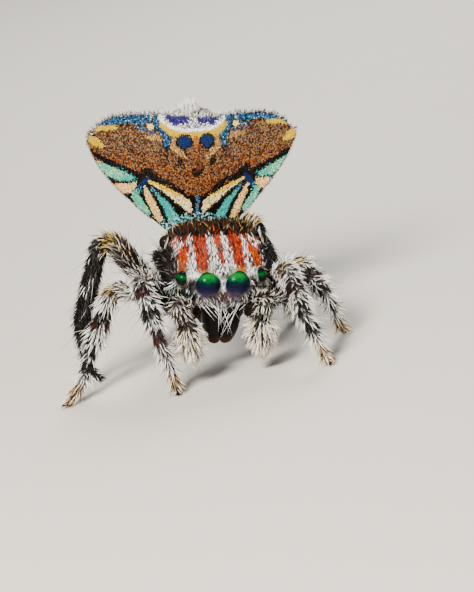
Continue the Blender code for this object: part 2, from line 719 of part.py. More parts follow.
    def build(self):
        carapace = self.carapace()
        self.sternum()
        self.abdomen()
        self.pedicel()
        for side in ("left", "right"):
            self.flap(side)
            self.chelicera(side)
            self.palp(side)
        self.spinnerets()
        cutters = []
        for name, (at, radius) in EYES.items():
            for side, sign in (("left", 1), ("right", -1)):
                centre = HEAD.point(at[0] * sign, at[1], at[2])
                facets = (14, 9) if radius > 0.15 else (12, 8) if radius > 0.08 else (8, 6)
                eye = ball(f"eye_{name}_{side}", centre, radius, self.parts, *facets)
                eye.data.materials.append(material("eye_lens"))
                self.roots[eye.name] = centre
                cutters.append(ball("socket", centre, radius + SOCKET_CLEARANCE, self.cutters, 12, 6))
        boolean(carapace, cutters, "DIFFERENCE")
        for number, side in LEG_JOINTS:
            self.leg(number, side)
        self.trees = {node.name: self.tree(node) for node in self.parts.objects}
        for number, side in LEG_JOINTS:
            self.leg_coat(number, side)
        for side in ("left", "right"):
            self.palp_coat(side)
        self.crest_coat()
        self.tuft_coat()

    def finish(self):
        """Stands the spider on its origin, in metres, each node about its own root."""
        nodes = list(self.parts.objects)
        corners = [v.co for node in nodes for v in node.data.vertices]
        low = Vector([min(c[i] for c in corners) for i in range(3)])
        high = Vector([max(c[i] for c in corners) for i in range(3)])
        origin = Vector(((low.x + high.x) / 2, (low.y + high.y) / 2, low.z))
        stand = bpy.data.objects.new("peacock_spider", None)
        stand.empty_display_size = 0.5 * MM
        self.parts.objects.link(stand)
        for node in nodes:
            root = self.roots[node.name]
            node.data.transform(Matrix.Scale(MM, 4) @ Matrix.Translation(-root))
            node.data.shade_smooth()
            node.data.set_sharp_from_angle(angle=math.radians(45))
            node.location = (root - origin) * MM
            node.parent = stand


def main():
    spider = Spider()
    spider.build()
    spider.finish()


main()
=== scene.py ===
"""Looks of the peacock spider: a displaying male, life size, on a pale studio floor.

One skin covers head, abdomen, palps and legs. Over it lie the spider's own
coverings as solid meshes: flattened bristles on the legs and palps, short hairs
on the face, and coloured scales on the raised fan.

Shapes are worked out in millimetres, in the spider's own axes (+X its left,
-Y the way it faces, +Z up), and set into the loaded frame at the end.
"""

import logging
import math
from dataclasses import dataclass, field
from enum import Enum
from functools import partial

import bmesh
import bpy
import numpy as np
from mathutils import Matrix, Vector
from mathutils.kdtree import KDTree

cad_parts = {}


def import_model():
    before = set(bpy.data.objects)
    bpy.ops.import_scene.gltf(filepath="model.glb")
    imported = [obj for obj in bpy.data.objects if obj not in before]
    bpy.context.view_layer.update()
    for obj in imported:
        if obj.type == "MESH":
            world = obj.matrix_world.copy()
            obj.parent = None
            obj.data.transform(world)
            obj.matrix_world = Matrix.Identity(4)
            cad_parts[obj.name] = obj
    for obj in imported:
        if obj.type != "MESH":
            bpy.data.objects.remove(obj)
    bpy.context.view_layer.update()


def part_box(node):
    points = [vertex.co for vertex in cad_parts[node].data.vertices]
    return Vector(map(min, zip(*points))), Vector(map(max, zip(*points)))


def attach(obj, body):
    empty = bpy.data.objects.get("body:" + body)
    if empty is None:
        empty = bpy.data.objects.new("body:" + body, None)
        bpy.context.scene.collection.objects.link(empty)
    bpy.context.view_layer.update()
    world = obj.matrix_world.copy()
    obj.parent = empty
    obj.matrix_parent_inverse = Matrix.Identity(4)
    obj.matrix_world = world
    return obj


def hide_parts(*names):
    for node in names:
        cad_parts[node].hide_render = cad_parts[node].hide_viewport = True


LOG = logging.getLogger("peacock_spider")
MM = 0.001
SEED = 2711
BODY = "root"
GROUND_GAP = 0.012  # least height of a bristle's tip over the ground, in mm
NEAR_GROUND = 0.6  # bristles that start lower than this are kept clear of it
TINY = 1e-9
Array = np.ndarray
Rng = np.random.Generator
Piece, Mesh = bpy.types.Object, bpy.types.Mesh
Material, Tree = bpy.types.Material, bpy.types.NodeTree
Table = tuple[tuple[float, ...], ...]

# Head: middle of the front eye row, nose-down pitch and sideways lean, degrees.
HEAD_AT = (0.055, -0.088, 1.35)
HEAD_PITCH = 16.0
HEAD_LEAN = 12.5

# Carapace, along the head's local Y: half width, crown and lower edge.
CARAPACE_WIDTH = (
    (0.07, 0.34), (0.04, 0.48), (-0.03, 0.6), (-0.12, 0.67), (-0.4, 0.755),
    (-0.95, 0.8), (-1.3, 0.72), (-1.62, 0.46), (-1.78, 0.22),
)
CARAPACE_TOP = (
    (0.07, 0.14), (0.04, 0.2), (-0.03, 0.26), (-0.12, 0.3), (-0.4, 0.37),
    (-0.95, 0.44), (-1.18, 0.36), (-1.5, 0.08), (-1.78, -0.26),
)
CARAPACE_BOTTOM = ((0.07, -0.28), (0.0, -0.34), (-0.35, -0.44), (-0.95, -0.45), (-1.5, -0.44), (-1.78, -0.42))
CARAPACE_SQUARE = (2.35, 2.0)
STERNUM = ((-0.36, 0.1), (-0.45, 0.17), (-0.62, 0.2), (-0.9, 0.24), (-1.2, 0.24), (-1.5, 0.17), (-1.64, 0.08))

# Eyes: local place on the left side and radius.
EYES = {
    "ame": ((0.21, -0.035, 0.0), 0.186),
    "ale": ((0.55, -0.125, 0.035), 0.112),
    "pme": ((0.662, -0.54, 0.165), 0.036),
    "ple": ((0.685, -0.95, 0.18), 0.105),
}

# Fan: its foot, its axes across and up, and the abdomen behind it by height.
FAN_AT = (-0.044, 1.852, 1.555)
FAN_ACROSS = (0.984, -0.104, -0.142)
FAN_UP = (0.127, -0.139, 0.982)
ABDOMEN_LENGTH = 2.0
ABDOMEN_WIDTH = ((0.0, 0.22), (0.15, 0.44), (0.4, 0.56), (0.9, 0.62), (1.45, 0.6), (1.8, 0.46), (2.0, 0.26))
ABDOMEN_BELLY = ((0.0, 0.16), (0.15, 0.42), (0.4, 0.66), (0.9, 0.82), (1.4, 0.7), (1.75, 0.42), (2.0, 0.12))
ABDOMEN_BACK = ((0.0, 0.05), (0.2, 0.09), (0.9, 0.1), (1.8, 0.09), (2.0, 0.05))
ABDOMEN_MIDDLE = -0.1
FLAP_FOOT = 0.16
FLAP_REACH = {"right": 1.525, "left": 1.5}
FLAP_FULLNESS = {"right": 1.6, "left": 1.38}
FLAP_TIP_HEIGHT = {"right": 1.7, "left": 1.6}
FLAP_TOP_HEIGHT = {"right": 1.985, "left": 1.905}

# Legs: coxa ends in the head's axes, then knee, tibia end, metatarsus end and foot.
LEG_ROOTS = {
    "1": ((0.3, -0.64, -0.6), (0.72, -0.49, -0.62)),
    "2": ((0.3, -0.93, -0.6), (0.68, -0.93, -0.62)),
    "3": ((0.3, -1.21, -0.61), (0.71, -1.33, -0.81)),
    "4": ((0.27, -1.49, -0.59), (0.52, -1.78, -0.57)),
}
LEG_JOINTS = {
    ("1", "right"): ((-1.06, 0.17, 1.59), (-1.037, -0.504, 0.956), (-0.95, -0.42, 0.465), (-0.932, -0.5)),
    ("1", "left"): ((1.0, 0.11, 1.262), (1.075, -0.66, 0.78), (1.18, -0.56, 0.335), (1.264, -0.775)),
    ("2", "right"): ((-1.472, 0.771, 1.385), (-1.99, 0.52, 0.62), (-2.193, 0.34, 0.3), (-2.51, 0.2)),
    ("2", "left"): ((1.23, 1.06, 1.075), (1.498, 0.387, 0.72), (1.572, 0.51, 0.367), (1.671, 0.668)),
    ("3", "right"): ((-1.43, 1.05, 2.061), (-2.08, 0.97, 0.86), (-2.079, 1.1, 0.311), (-1.945, 1.165)),
    ("3", "left"): ((0.7, 1.76, 1.7), (0.96, 1.87, 0.62), (1.04, 1.94, 0.26), (1.16, 2.08)),
    ("4", "right"): ((-0.64, 2.48, 1.3), (-0.68, 3.01, 0.66), (-0.62, 3.19, 0.24), (-0.55, 3.37)),
    ("4", "left"): ((0.64, 2.48, 1.18), (0.74, 2.99, 0.62), (0.72, 3.18, 0.24), (0.68, 3.36)),
}
LEG_RADII = {  # coxa, femur, tibia, metatarsus, tarsus
    "1": (0.125, 0.15, 0.135, 0.088, 0.06),
    "2": (0.125, 0.14, 0.13, 0.082, 0.058),
    "3": (0.125, 0.15, 0.135, 0.078, 0.055),
    "4": (0.12, 0.125, 0.11, 0.07, 0.052),
}
FOOT_RADIUS = 0.045
BEND_RADIUS = 0.1
PALP_JOINTS = {
    "right": ((-0.42, 0.06, 0.93), (-0.64, -0.23, 1.215), (-0.59, -0.29, 0.96), (-0.592, -0.3, 0.56)),
    "left": ((0.3, 0.09, 0.79), (0.6, -0.24, 1.01), (0.48, -0.28, 0.79), (0.405, -0.285, 0.42)),
}
PALP_RADII = (0.085, 0.095, 0.105, 0.125)
SIDES = {"left": 1, "right": -1}


def linear(hex_colour: str) -> Array:
    """Turns six hex digits of sRGB to three linear values from 0 to 1."""
    channels = np.array([int(hex_colour[i : i + 2], 16) / 255 for i in (0, 2, 4)])
    return np.where(channels <= 0.04045, channels / 12.92, ((channels + 0.055) / 1.055) ** 2.4)


class Pigment(Enum):
    """Colours of the spider's scales and bristles, as sRGB hex."""

    SOOT = "080605"
    UMBER = "21140e"
    BROWN = "432918"
    GREY = "76726d"
    DUN = "6f5b4e"
    WHITE = "efeae0"
    SNOW = "fffdf8"
    CREAM = "ecdcb8"
    PEACH = "dcac5e"
    TAN = "94703f"
    GOLD = "cfa850"
    RUST = "4e1c0c"
    ORANGE = "98480a"
    VERMILION = "a01a00"
    FLAME = "c84400"
    YELLOW = "c8a400"
    LEMON = "ecd04a"
    LILAC = "746f84"
    MAUVE = "4e3036"
    VIOLET = "33266e"
    INDIGO = "171a52"
    NAVY = "0a2450"
    STEEL = "20587c"
    SKY = "4e93ba"
    ICE = "bcd4e0"
    TEAL = "10808e"
    TURQUOISE = "2f9c92"
    MINT = "6cbc8c"

    @property
    def rgb(self) -> Array:
        """The colour as linear RGB."""
        return linear(self.value)


Mix = tuple[tuple[Pigment, float], ...]


def mix(**shares: float) -> Mix:
    """A mix of pigments, each named in small letters with its share."""
    return tuple((Pigment[name.upper()], share) for name, share in shares.items())


class Coating(Enum):
    """Mixes of bristle colours found in one band of a limb."""

    STREAKED = mix(snow=0.46, soot=0.46, grey=0.08)
    DARK = mix(soot=0.84, umber=0.12, white=0.04)
    PALE = mix(snow=0.7, white=0.16, cream=0.04, soot=0.1)
    GOLDEN = mix(gold=0.36, cream=0.34, brown=0.3)
    RUSTY = mix(rust=0.5, white=0.22, soot=0.28)
    TARSAL = mix(orange=0.08, tan=0.3, cream=0.48, brown=0.14)
    BROWNISH = mix(brown=0.4, umber=0.28, cream=0.2, grey=0.12)


def pick(rng: Rng, count: int, blend: Mix) -> Array:
    """Draws colours from a mix.

    Args:
        rng: The random source.
        count: How many.
        blend: Pigments with their shares.

    Returns:
        Linear RGB rows.
    """
    shares = np.array([share for _, share in blend])
    colours = np.array([pigment.rgb for pigment, _ in blend])
    return colours[rng.choice(len(blend), count, p=shares / shares.sum())]


def pick_clumps(rng: Rng, cells: Array, blend: Mix, share: float) -> Array:
    """Draws colours from a mix so that many bristles of one cell match.

    Args:
        rng: The random source.
        cells: The cell that each bristle grows in.
        blend: Pigments with their shares.
        share: How many follow their cell.

    Returns:
        Linear RGB rows.
    """
    _, index = np.unique(cells, axis=0, return_inverse=True)
    index = index.ravel()
    common = pick(rng, int(index.max()) + 1 if len(index) else 0, blend)
    own = pick(rng, len(index), blend)
    return np.where(rng.random(len(index))[:, None] < share, common[index], own)


def stack(*columns: Array | float) -> Array:
    """Columns set side by side, with single numbers repeated down theirs."""
    return np.stack(np.broadcast_arrays(*columns), axis=-1)


def unit(vectors: Array) -> Array:
    """Vectors at length one."""
    return vectors / np.maximum(np.linalg.norm(vectors, axis=-1, keepdims=True), TINY)


def bell(value: Array, width: float) -> Array:
    """A bell curve: 1 at zero, falling off over a width."""
    return np.exp(-((value / width) ** 2))


def smoothstep(low: float, high: float, value: Array) -> Array:
    """A smooth rise from 0 at the low end to 1 at the high one."""
    t = np.clip((np.asarray(value, float) - low) / (high - low), 0, 1)
    return t * t * (3 - 2 * t)


def read(table: Table, at: Array) -> Array:
    """Reads a table of (place, value) rows along a smooth curve that never overshoots.

    Args:
        table: Rows in either order of place.
        at: Places to read.

    Returns:
        The value at each place.
    """
    x, y = np.array(sorted(table)).T
    step = np.diff(x)
    slope = np.diff(y) / step
    tangent = np.zeros(len(x))
    same = slope[1:] * slope[:-1] > 0
    harmonic = 2 * slope[1:] * slope[:-1] / np.where(same, slope[1:] + slope[:-1], 1)
    tangent[1:-1] = np.where(same, harmonic, 0)
    tangent[0], tangent[-1] = slope[0], slope[-1]
    at = np.clip(np.asarray(at, float), x[0], x[-1])
    i = np.clip(np.searchsorted(x, at) - 1, 0, len(step) - 1)
    t = (at - x[i]) / step[i]
    rise = y[i] * (1 + 2 * t) * (1 - t) ** 2 + y[i + 1] * t * t * (3 - 2 * t)
    return rise + step[i] * (tangent[i] * t * (1 - t) ** 2 + tangent[i + 1] * t * t * (t - 1))


@dataclass(frozen=True)
class Axes:
    """A set of square axes at a point, in millimetres."""

    at: Array
    x: Array
    y: Array
    z: Array

    def point(self, local: Array) -> Array:
        """Own coordinates turned to the spider's."""
        local = np.asarray(local, float)
        return self.at + local[..., :1] * self.x + local[..., 1:2] * self.y + local[..., 2:3] * self.z

    def direction(self, local: Array) -> Array:
        """An own direction turned to the spider's, at length one."""
        return unit(self.point(local) - self.at)

    def local(self, points: Array) -> Array:
        """The spider's coordinates turned to own ones."""
        away = np.asarray(points, float) - self.at
        return stack(away @ self.x, away @ self.y, away @ self.z)


def head_axes() -> Axes:
    """The head's axes: pitched nose down, then leaning about the nose.

    Returns:
        Axes at the middle of the front eye row.
    """
    pitch = Matrix.Rotation(math.radians(HEAD_PITCH), 3, "X")
    forward, up = pitch @ Vector((0, -1, 0)), pitch @ Vector((0, 0, 1))
    lean = Matrix.Rotation(math.radians(HEAD_LEAN), 3, -forward)
    return Axes(*(np.array(v, float) for v in (HEAD_AT, lean @ Vector((1, 0, 0)), forward, lean @ up)))


def fan_axes() -> Axes:
    """The fan's axes: across it, up it, and out of its patterned face.

    Returns:
        Axes at the foot of the abdomen.
    """
    across = unit(np.array(FAN_ACROSS, float))
    up = np.array(FAN_UP, float)
    up = unit(up - across * (up @ across))
    return Axes(np.array(FAN_AT, float), across, up, np.cross(across, up))


HEAD = head_axes()
FAN = fan_axes()


@dataclass
class Roots:
    """Where bristles or scales grow: places, ways out and the unwrap, and on a loft places and ways along."""

    at: Array
    out: Array
    atlas: Array
    along: Array | None = None
    place: Array | None = None
    turn: Array | None = None

    def only(self, keep: Array) -> "Roots":
        """The roots that a mask or an index keeps."""
        return Roots(*(None if value is None else value[keep] for value in vars(self).values()))

    @property
    def count(self) -> int:
        """How many roots there are."""
        return len(self.at)


@dataclass
class Loft:
    """A closed skin over rings of points, which hands out roots for its coat."""

    rings: Array
    places: Array

    def shell(self) -> tuple[Array, list[tuple[int, ...]]]:
        """The loft as a closed mesh.

        Returns:
            Vertices and faces.
        """
        rows, sides = self.rings.shape[:2]
        points = [*self.rings.reshape(-1, 3), self.rings[0].mean(0), self.rings[-1].mean(0)]
        faces = []
        for i in range(rows - 1):
            for j in range(sides):
                k = (j + 1) % sides
                faces.append((i * sides + j, i * sides + k, (i + 1) * sides + k, (i + 1) * sides + j))
        first, last = rows * sides, rows * sides + 1
        for j in range(sides):
            k = (j + 1) % sides
            faces.append((k, j, first))
            faces.append(((rows - 1) * sides + j, (rows - 1) * sides + k, last))
        return np.array(points), faces

    def roots(
        self, step: float, rng: Rng, start: float = -9.0, end: float = 99.0, row: float = 0.0
    ) -> Roots:
        """Roots spread over the loft, evenly or in rows that overlap like shingles.

        Args:
            step: Distance between neighbours.
            rng: The random source.
            start: Place along the loft of the first ones.
            end: Place along the loft of the last ones.
            row: Distance between rows, or zero for an even spread.

        Returns:
            The roots, from the loft's first ring to its last.
        """
        rings, sides = self.rings, self.rings.shape[1]
        closed = np.concatenate([rings, rings[:, :1]], axis=1)
        around = np.linalg.norm(np.diff(closed, axis=1), axis=2)
        gaps = np.linalg.norm(np.diff(rings, axis=0), axis=2).mean(1)
        reach = np.concatenate([[0], np.cumsum(gaps)])
        gap, loose = (row, 0.15) if row else (step, 0.4)
        found = []
        for mark in np.arange(gap / 2, reach[-1], gap):
            i = int(np.clip(np.searchsorted(reach, mark) - 1, 0, len(gaps) - 1))
            middle = (mark - reach[i]) / max(gaps[i], TINY)
            place = self.places[i] + (self.places[i + 1] - self.places[i]) * middle
            if not start <= place <= end:
                continue
            lengths = around[i] * (1 - middle) + around[i + 1] * middle
            count = max(3, int(round(lengths.sum() / step)))
            turns = (np.arange(count) + rng.random() + rng.uniform(-0.35, 0.35, count)) / count % 1.0
            marks = np.concatenate([[0], np.cumsum(lengths)])
            index = np.interp(turns * lengths.sum(), marks, np.arange(sides + 1))
            j = np.minimum(index.astype(int), sides - 1)
            f = (index - j)[:, None]
            level = np.clip(mark + rng.uniform(-loose, loose, count) * gap, 0, reach[-1] - 1e-6)
            k = np.clip(np.searchsorted(reach, level) - 1, 0, len(gaps) - 1)
            t = np.clip((level - reach[k]) / np.maximum(gaps[k], TINY), 0, 1)[:, None]
            low = closed[k, j] * (1 - f) + closed[k, j + 1] * f
            high = closed[k + 1, j] * (1 - f) + closed[k + 1, j + 1] * f
            at = low * (1 - t) + high * t
            side = (closed[k, j + 1] - closed[k, j]) * (1 - t)
            side += (closed[k + 1, j + 1] - closed[k + 1, j]) * t
            out = unit(np.cross(side, high - low))
            centre = rings[k].mean(1) * (1 - t) + rings[k + 1].mean(1) * t
            out *= np.where(((at - centre) * out).sum(1, keepdims=True) < 0, -1, 1)
            atlas = stack(0.02 + 0.96 * turns, 0.02 + 0.96 * mark / reach[-1])
            found.append((at, out, atlas, unit(high - low), np.full(count, place), turns))
        return Roots(*(np.concatenate(values) for values in zip(*found)))


def superellipse(
    sides: int, half: float, up: float, down: float, square: float, below: float | None = None
) -> tuple[Array, Array]:
    """A rounded outline in X and Z.

    Args:
        sides: How many points.
        half: Half width.
        up: Reach above the middle.
        down: Reach below the middle.
        square: Squareness above, where 2 is an ellipse.
        below: Squareness below, if another.

    Returns:
        X and Z of each point.
    """
    angle = 2 * np.pi * (np.arange(sides) + 0.5) / sides
    power = 2 / np.where(np.sin(angle) > 0, square, below or square)
    x = half * np.sign(np.cos(angle)) * np.abs(np.cos(angle)) ** power
    z = np.sign(np.sin(angle)) * np.abs(np.sin(angle)) ** power
    return x, z * np.where(z > 0, up, down)


@dataclass
class Route:
    """A chain of joints with rounded corners, read by distance along it."""

    joints: list[Array]
    radii: tuple[float, ...]
    steps: int = 8
    points: Array = field(init=False)
    places: Array = field(init=False)
    bends: list[float] = field(init=False)

    def __post_init__(self) -> None:
        """Rounds the corners and measures the route."""
        joints = [Vector(p) for p in self.joints]
        points = [joints[0]]
        for i, (before, corner, after) in enumerate(zip(joints, joints[1:], joints[2:])):
            back, on = before - corner, after - corner
            half = back.angle(on) / 2
            bend = max(BEND_RADIUS, 1.3 * self.radii[i])
            bend = min(bend, math.tan(half) * 0.48 * min(back.length, on.length))
            inward = (back.normalized() + on.normalized()).normalized()
            corner = corner - inward * (bend / math.sin(half) - bend)
            centre = corner + inward * (bend / math.sin(half))
            reach = bend / math.tan(half)
            start = corner + (before - corner).normalized() * reach - centre
            end = corner + (after - corner).normalized() * reach - centre
            sweep = start.angle(end)
            for k in range(self.steps + 1):
                share = k / self.steps
                arm = start * math.sin((1 - share) * sweep) + end * math.sin(share * sweep)
                points.append(centre + arm / math.sin(sweep))
        points.append(joints[-1])
        self.points = np.array([list(p) for p in points])
        self.places = np.concatenate([[0], np.cumsum(np.linalg.norm(np.diff(self.points, axis=0), axis=1))])
        middles = [1 + i * (self.steps + 1) + self.steps // 2 for i in range(len(joints) - 2)]
        self.bends = [0.0, *(float(self.places[i]) for i in middles), float(self.places[-1])]

    @property
    def length(self) -> float:
        """The route's whole length."""
        return self.bends[-1]

    def at(self, place: Array) -> Array:
        """Points at distances along the route."""
        return stack(*(np.interp(place, self.places, self.points[:, k]) for k in range(3)))

    def loft(self, table: list[tuple[float, float]], sides: int = 20, step: float = 0.025) -> Loft:
        """A tube round the route.

        Args:
            table: Radius by place.
            sides: Points in each ring.
            step: Distance between rings.

        Returns:
            The tube as a loft.
        """
        places = np.linspace(0, self.length, int(self.length / step) + 2)
        centres = self.at(places)
        tangents = unit(self.at(places + 0.04) - self.at(places - 0.04))
        normal = np.cross(self.points[-1] - self.points[0], (0.0, 0.0, 1.0))
        normal = normal if np.linalg.norm(normal) > 0.05 else np.array((1.0, 0.0, 0.0))
        side = unit(normal - tangents * (tangents @ normal)[:, None])
        up = np.cross(tangents, side)
        radius = np.interp(places, *zip(*table))
        radius = np.convolve(np.pad(radius, 1, mode="edge"), (0.25, 0.5, 0.25), mode="valid")
        angle = 2 * np.pi * np.arange(sides) / sides
        ring = side[:, None] * np.cos(angle)[None, :, None] + up[:, None] * np.sin(angle)[None, :, None]
        return Loft(centres[:, None] + ring * radius[:, None, None], places)


def shells(lofts: list[Loft]) -> tuple[Array, list[tuple[int, ...]]]:
    """The closed meshes of several lofts as one.

    Args:
        lofts: The lofts.

    Returns:
        Vertices and faces.
    """
    points, faces, base = [], [], 0
    for loft in lofts:
        some, shell = loft.shell()
        points.append(some)
        faces += [tuple(i + base for i in face) for face in shell]
        base += len(some)
    return np.concatenate(points), faces


def outward(made: Piece) -> None:
    """Turns a closed mesh's faces outward.

    Args:
        made: The mesh's object.
    """
    bm = bmesh.new()
    bm.from_mesh(made.data)
    bmesh.ops.recalc_face_normals(bm, faces=bm.faces)
    bm.to_mesh(made.data)
    bm.free()


def set_attribute(data: Mesh, name: str, values: Array, kind: str = "FLOAT_COLOR") -> None:
    """Writes an attribute on a mesh's points.

    Args:
        data: The mesh.
        name: The attribute's name.
        values: One row for each point.
        kind: Its data type.
    """
    made = data.attributes.new(name, kind, "POINT")
    key = {"FLOAT": "value", "FLOAT_VECTOR": "vector", "FLOAT_COLOR": "color"}[kind]
    if kind == "FLOAT_COLOR":
        values = np.concatenate([values, np.ones((len(values), 1))], axis=1)
    made.data.foreach_set(key, np.ascontiguousarray(values, np.float32).ravel())


def settle(made: Piece, slot: str, *replaced: str) -> Piece:
    """Attaches a finished piece to the body, hiding the frame's nodes that it stands for.

    Args:
        made: The piece.
        slot: Not used.
        *replaced: The frame's nodes that it stands for.

    Returns:
        The piece.
    """
    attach(made, BODY)
    if replaced:
        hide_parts(*replaced)
    LOG.info("%s: %d faces", made.name, len(made.data.polygons))
    return made


class Studio:
    """Puts shapes into the frame, and holds the random source and the finishes that several pieces share."""

    def __init__(self) -> None:
        """Finds how far the frame's origin is from the spider's own."""
        middle = np.zeros(3)
        for side in SIDES:
            low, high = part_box(f"eye_ame_{side}")
            middle += (np.array(low) + np.array(high)) / 4 / MM
        self.shift = middle - HEAD.point((0.0, *EYES["ame"][0][1:]))
        self.trees = {growth: coat_tree(growth) for growth in Growth}
        self.rng = np.random.default_rng(SEED)
        # Bristles catch a soft dry sheen, and scales a fainter one; the skin below is hard and half dull.
        self.seta = SetaFinish("seta_chitin").material()
        self.scale = SetaFinish("scale_chitin", roughness=0.3, specular=0.05, painted_root_shade=0.8).material()
        self.cuticle = CuticleFinish("sclerotised_cuticle").material()

    def world(self, points: Array) -> Array:
        """Own millimetres turned to the frame's metres."""
        return (np.asarray(points, float) + self.shift) * MM

    def mesh(
        self, name: str, points: Array, faces: list, material: Material | None = None
    ) -> Piece:
        """A smooth mesh object in the scene.

        Args:
            name: The object's name.
            points: Vertices in the units given.
            faces: Corner indices of each face.
            material: What it is made of.

        Returns:
            The object, at the origin.
        """
        data = bpy.data.meshes.new(name)
        data.from_pydata([tuple(p) for p in points], [], faces)
        data.update()
        if faces:
            data.shade_smooth()
        made = bpy.data.objects.new(name, data)
        bpy.context.scene.collection.objects.link(made)
        if material is not None:
            data.materials.append(material)
        return made

    def solid(self, name: str, lofts: list[Loft], material: Material, tint: Array) -> Piece:
        """A closed piece made of lofts.

        Args:
            name: The object's name.
            lofts: Its parts.
            material: What it is made of.
            tint: Linear RGB, one for all or one for each point.

        Returns:
            The object, at the origin.
        """
        points, faces = shells(lofts)
        made = self.mesh(name, self.world(points), faces, material)
        set_attribute(made.data, "tint", np.broadcast_to(tint, points.shape))
        outward(made)
        return made

    @staticmethod
    def bake(made: Piece) -> Mesh:
        """Gives an object the plain mesh that its modifiers make.

        Args:
            made: The object, which loses its modifiers.

        Returns:
            The plain mesh.
        """
        graph = bpy.context.evaluated_depsgraph_get()
        result = bpy.data.meshes.new_from_object(made.evaluated_get(graph))
        made.modifiers.clear()
        old, made.data = made.data, result
        bpy.data.meshes.remove(old)
        result.name = made.name
        return result


def wire(tree: Tree, node: bpy.types.Node, values: dict | tuple) -> None:
    """Sets or links a node's inputs.

    Args:
        tree: The node tree.
        node: The node.
        values: By name or index, or in order: a plain value, a socket, or a node for its first output.
    """
    for key, value in values.items() if isinstance(values, dict) else enumerate(values):
        if isinstance(value, bpy.types.Node):
            value = value.outputs[0]
        if isinstance(value, bpy.types.NodeSocket):
            tree.links.new(value, node.inputs[key])
        else:
            node.inputs[key].default_value = value


def put(tree: Tree, kind: str, values: dict | tuple = (), **settings: object) -> bpy.types.Node:
    """Adds a node with its settings, input values and links.

    Args:
        tree: The node tree.
        kind: The node's type.
        values: What its inputs are given.
        **settings: Properties of the node.

    Returns:
        The node.
    """
    node = tree.nodes.new(kind)
    for name, value in settings.items():
        setattr(node, name, value)
    wire(tree, node, values)
    return node


@dataclass(frozen=True)
class Finish:
    """What one real stuff gives the eye."""

    name: str

    def material(self) -> Material:
        """The finish as a new material.

        Returns:
            The material.
        """
        made = bpy.data.materials.new(self.name)
        made.use_nodes = True
        wire(made.node_tree, made.node_tree.nodes["Principled BSDF"], self.inputs(made.node_tree))
        return made

    def inputs(self, tree: Tree) -> dict:
        """Builds the finish's nodes, and gives the shader's inputs by name."""
        raise NotImplementedError


@dataclass(frozen=True)
class SetaFinish(Finish):
    """Flattened bristles and scales: thin dry chitin, coloured all through, with painted shade darkening each
    one towards its root.
    """

    roughness: float = 0.42
    specular: float = 0.18
    painted_root_shade: float = 0.24
    painted_root_shade_reach: float = 0.45
    flute_mm: float = 0.02  # real flutes are far finer, and are drawn this coarse to show
    uneven: float = 0.18

    def inputs(self, tree: Tree) -> dict:
        """The bristle's own tint, darkened towards its root with painted shade; fine lengthwise flutes break
        up its shine.

        Args:
            tree: Where the nodes go.

        Returns:
            The shader's inputs by name.
        """
        tint = put(tree, "ShaderNodeAttribute", attribute_name="tint")
        reach = put(tree, "ShaderNodeAttribute", attribute_name="reach").outputs["Fac"]
        place = put(tree, "ShaderNodeTexCoord").outputs["Object"]
        flutes = {"Vector": place, "Scale": 1 / (self.flute_mm * MM), "Detail": 1.0}
        grain = put(tree, "ShaderNodeTexNoise", flutes)
        # Painted shade: the colour darkens towards the root, standing for the shade that overlapping bristles
        # cast there.
        shade = {"Value": reach, "From Max": self.painted_root_shade_reach, "To Min": self.painted_root_shade, "To Max": 1.0}
        shade = put(tree, "ShaderNodeMapRange", shade)
        mottle = {"Value": grain, "To Min": 1 - self.uneven, "To Max": 1 + self.uneven}
        mottle = put(tree, "ShaderNodeMapRange", mottle)
        level = put(tree, "ShaderNodeMath", (shade, mottle), operation="MULTIPLY")
        colour = put(tree, "ShaderNodeVectorMath", {0: tint, "Scale": level}, operation="SCALE")
        return {"Base Color": colour, "Roughness": self.roughness, "Specular IOR Level": self.specular}


@dataclass(frozen=True)
class CuticleFinish(Finish):
    """Sclerotised cuticle: hard, finely pebbled, with the coat's markings showing dull through it."""

    roughness: float = 0.38
    coat: float = 0.15
    coat_roughness: float = 0.25
    pebble_mm: float = 0.02  # real pebbles are finer, and are drawn this coarse to show
    pebble_height_mm: float = 0.004
    blotch_mm: float = 0.12

    def inputs(self, tree: Tree) -> dict:
        """The skin's tint in dull blotches, under fine pebbles.

        Args:
            tree: Where the nodes go.

        Returns:
            The shader's inputs by name.
        """
        tint = put(tree, "ShaderNodeAttribute", attribute_name="tint")
        place = put(tree, "ShaderNodeTexCoord").outputs["Object"]
        pebbles = put(tree, "ShaderNodeTexVoronoi", {"Vector": place, "Scale": 1 / (self.pebble_mm * MM)})
        blotch = {"Vector": place, "Scale": 1 / (self.blotch_mm * MM), "Detail": 3.0}
        blotch = put(tree, "ShaderNodeTexNoise", blotch)
        level = put(tree, "ShaderNodeMapRange", {"Value": blotch, "To Min": 0.65, "To Max": 1.35})
        colour = put(tree, "ShaderNodeVectorMath", {0: tint, "Scale": level}, operation="SCALE")
        bump = {"Strength": 0.35, "Distance": self.pebble_height_mm * MM, "Height": pebbles}
        bump = put(tree, "ShaderNodeBump", bump)
        gloss = {"Value": blotch, "To Min": self.roughness - 0.1, "To Max": self.roughness + 0.15}
        gloss = put(tree, "ShaderNodeMapRange", gloss)
        shine = {"Coat Weight": self.coat, "Coat Roughness": self.coat_roughness}
        return {"Base Color": colour, "Roughness": gloss, "Normal": bump, **shine}


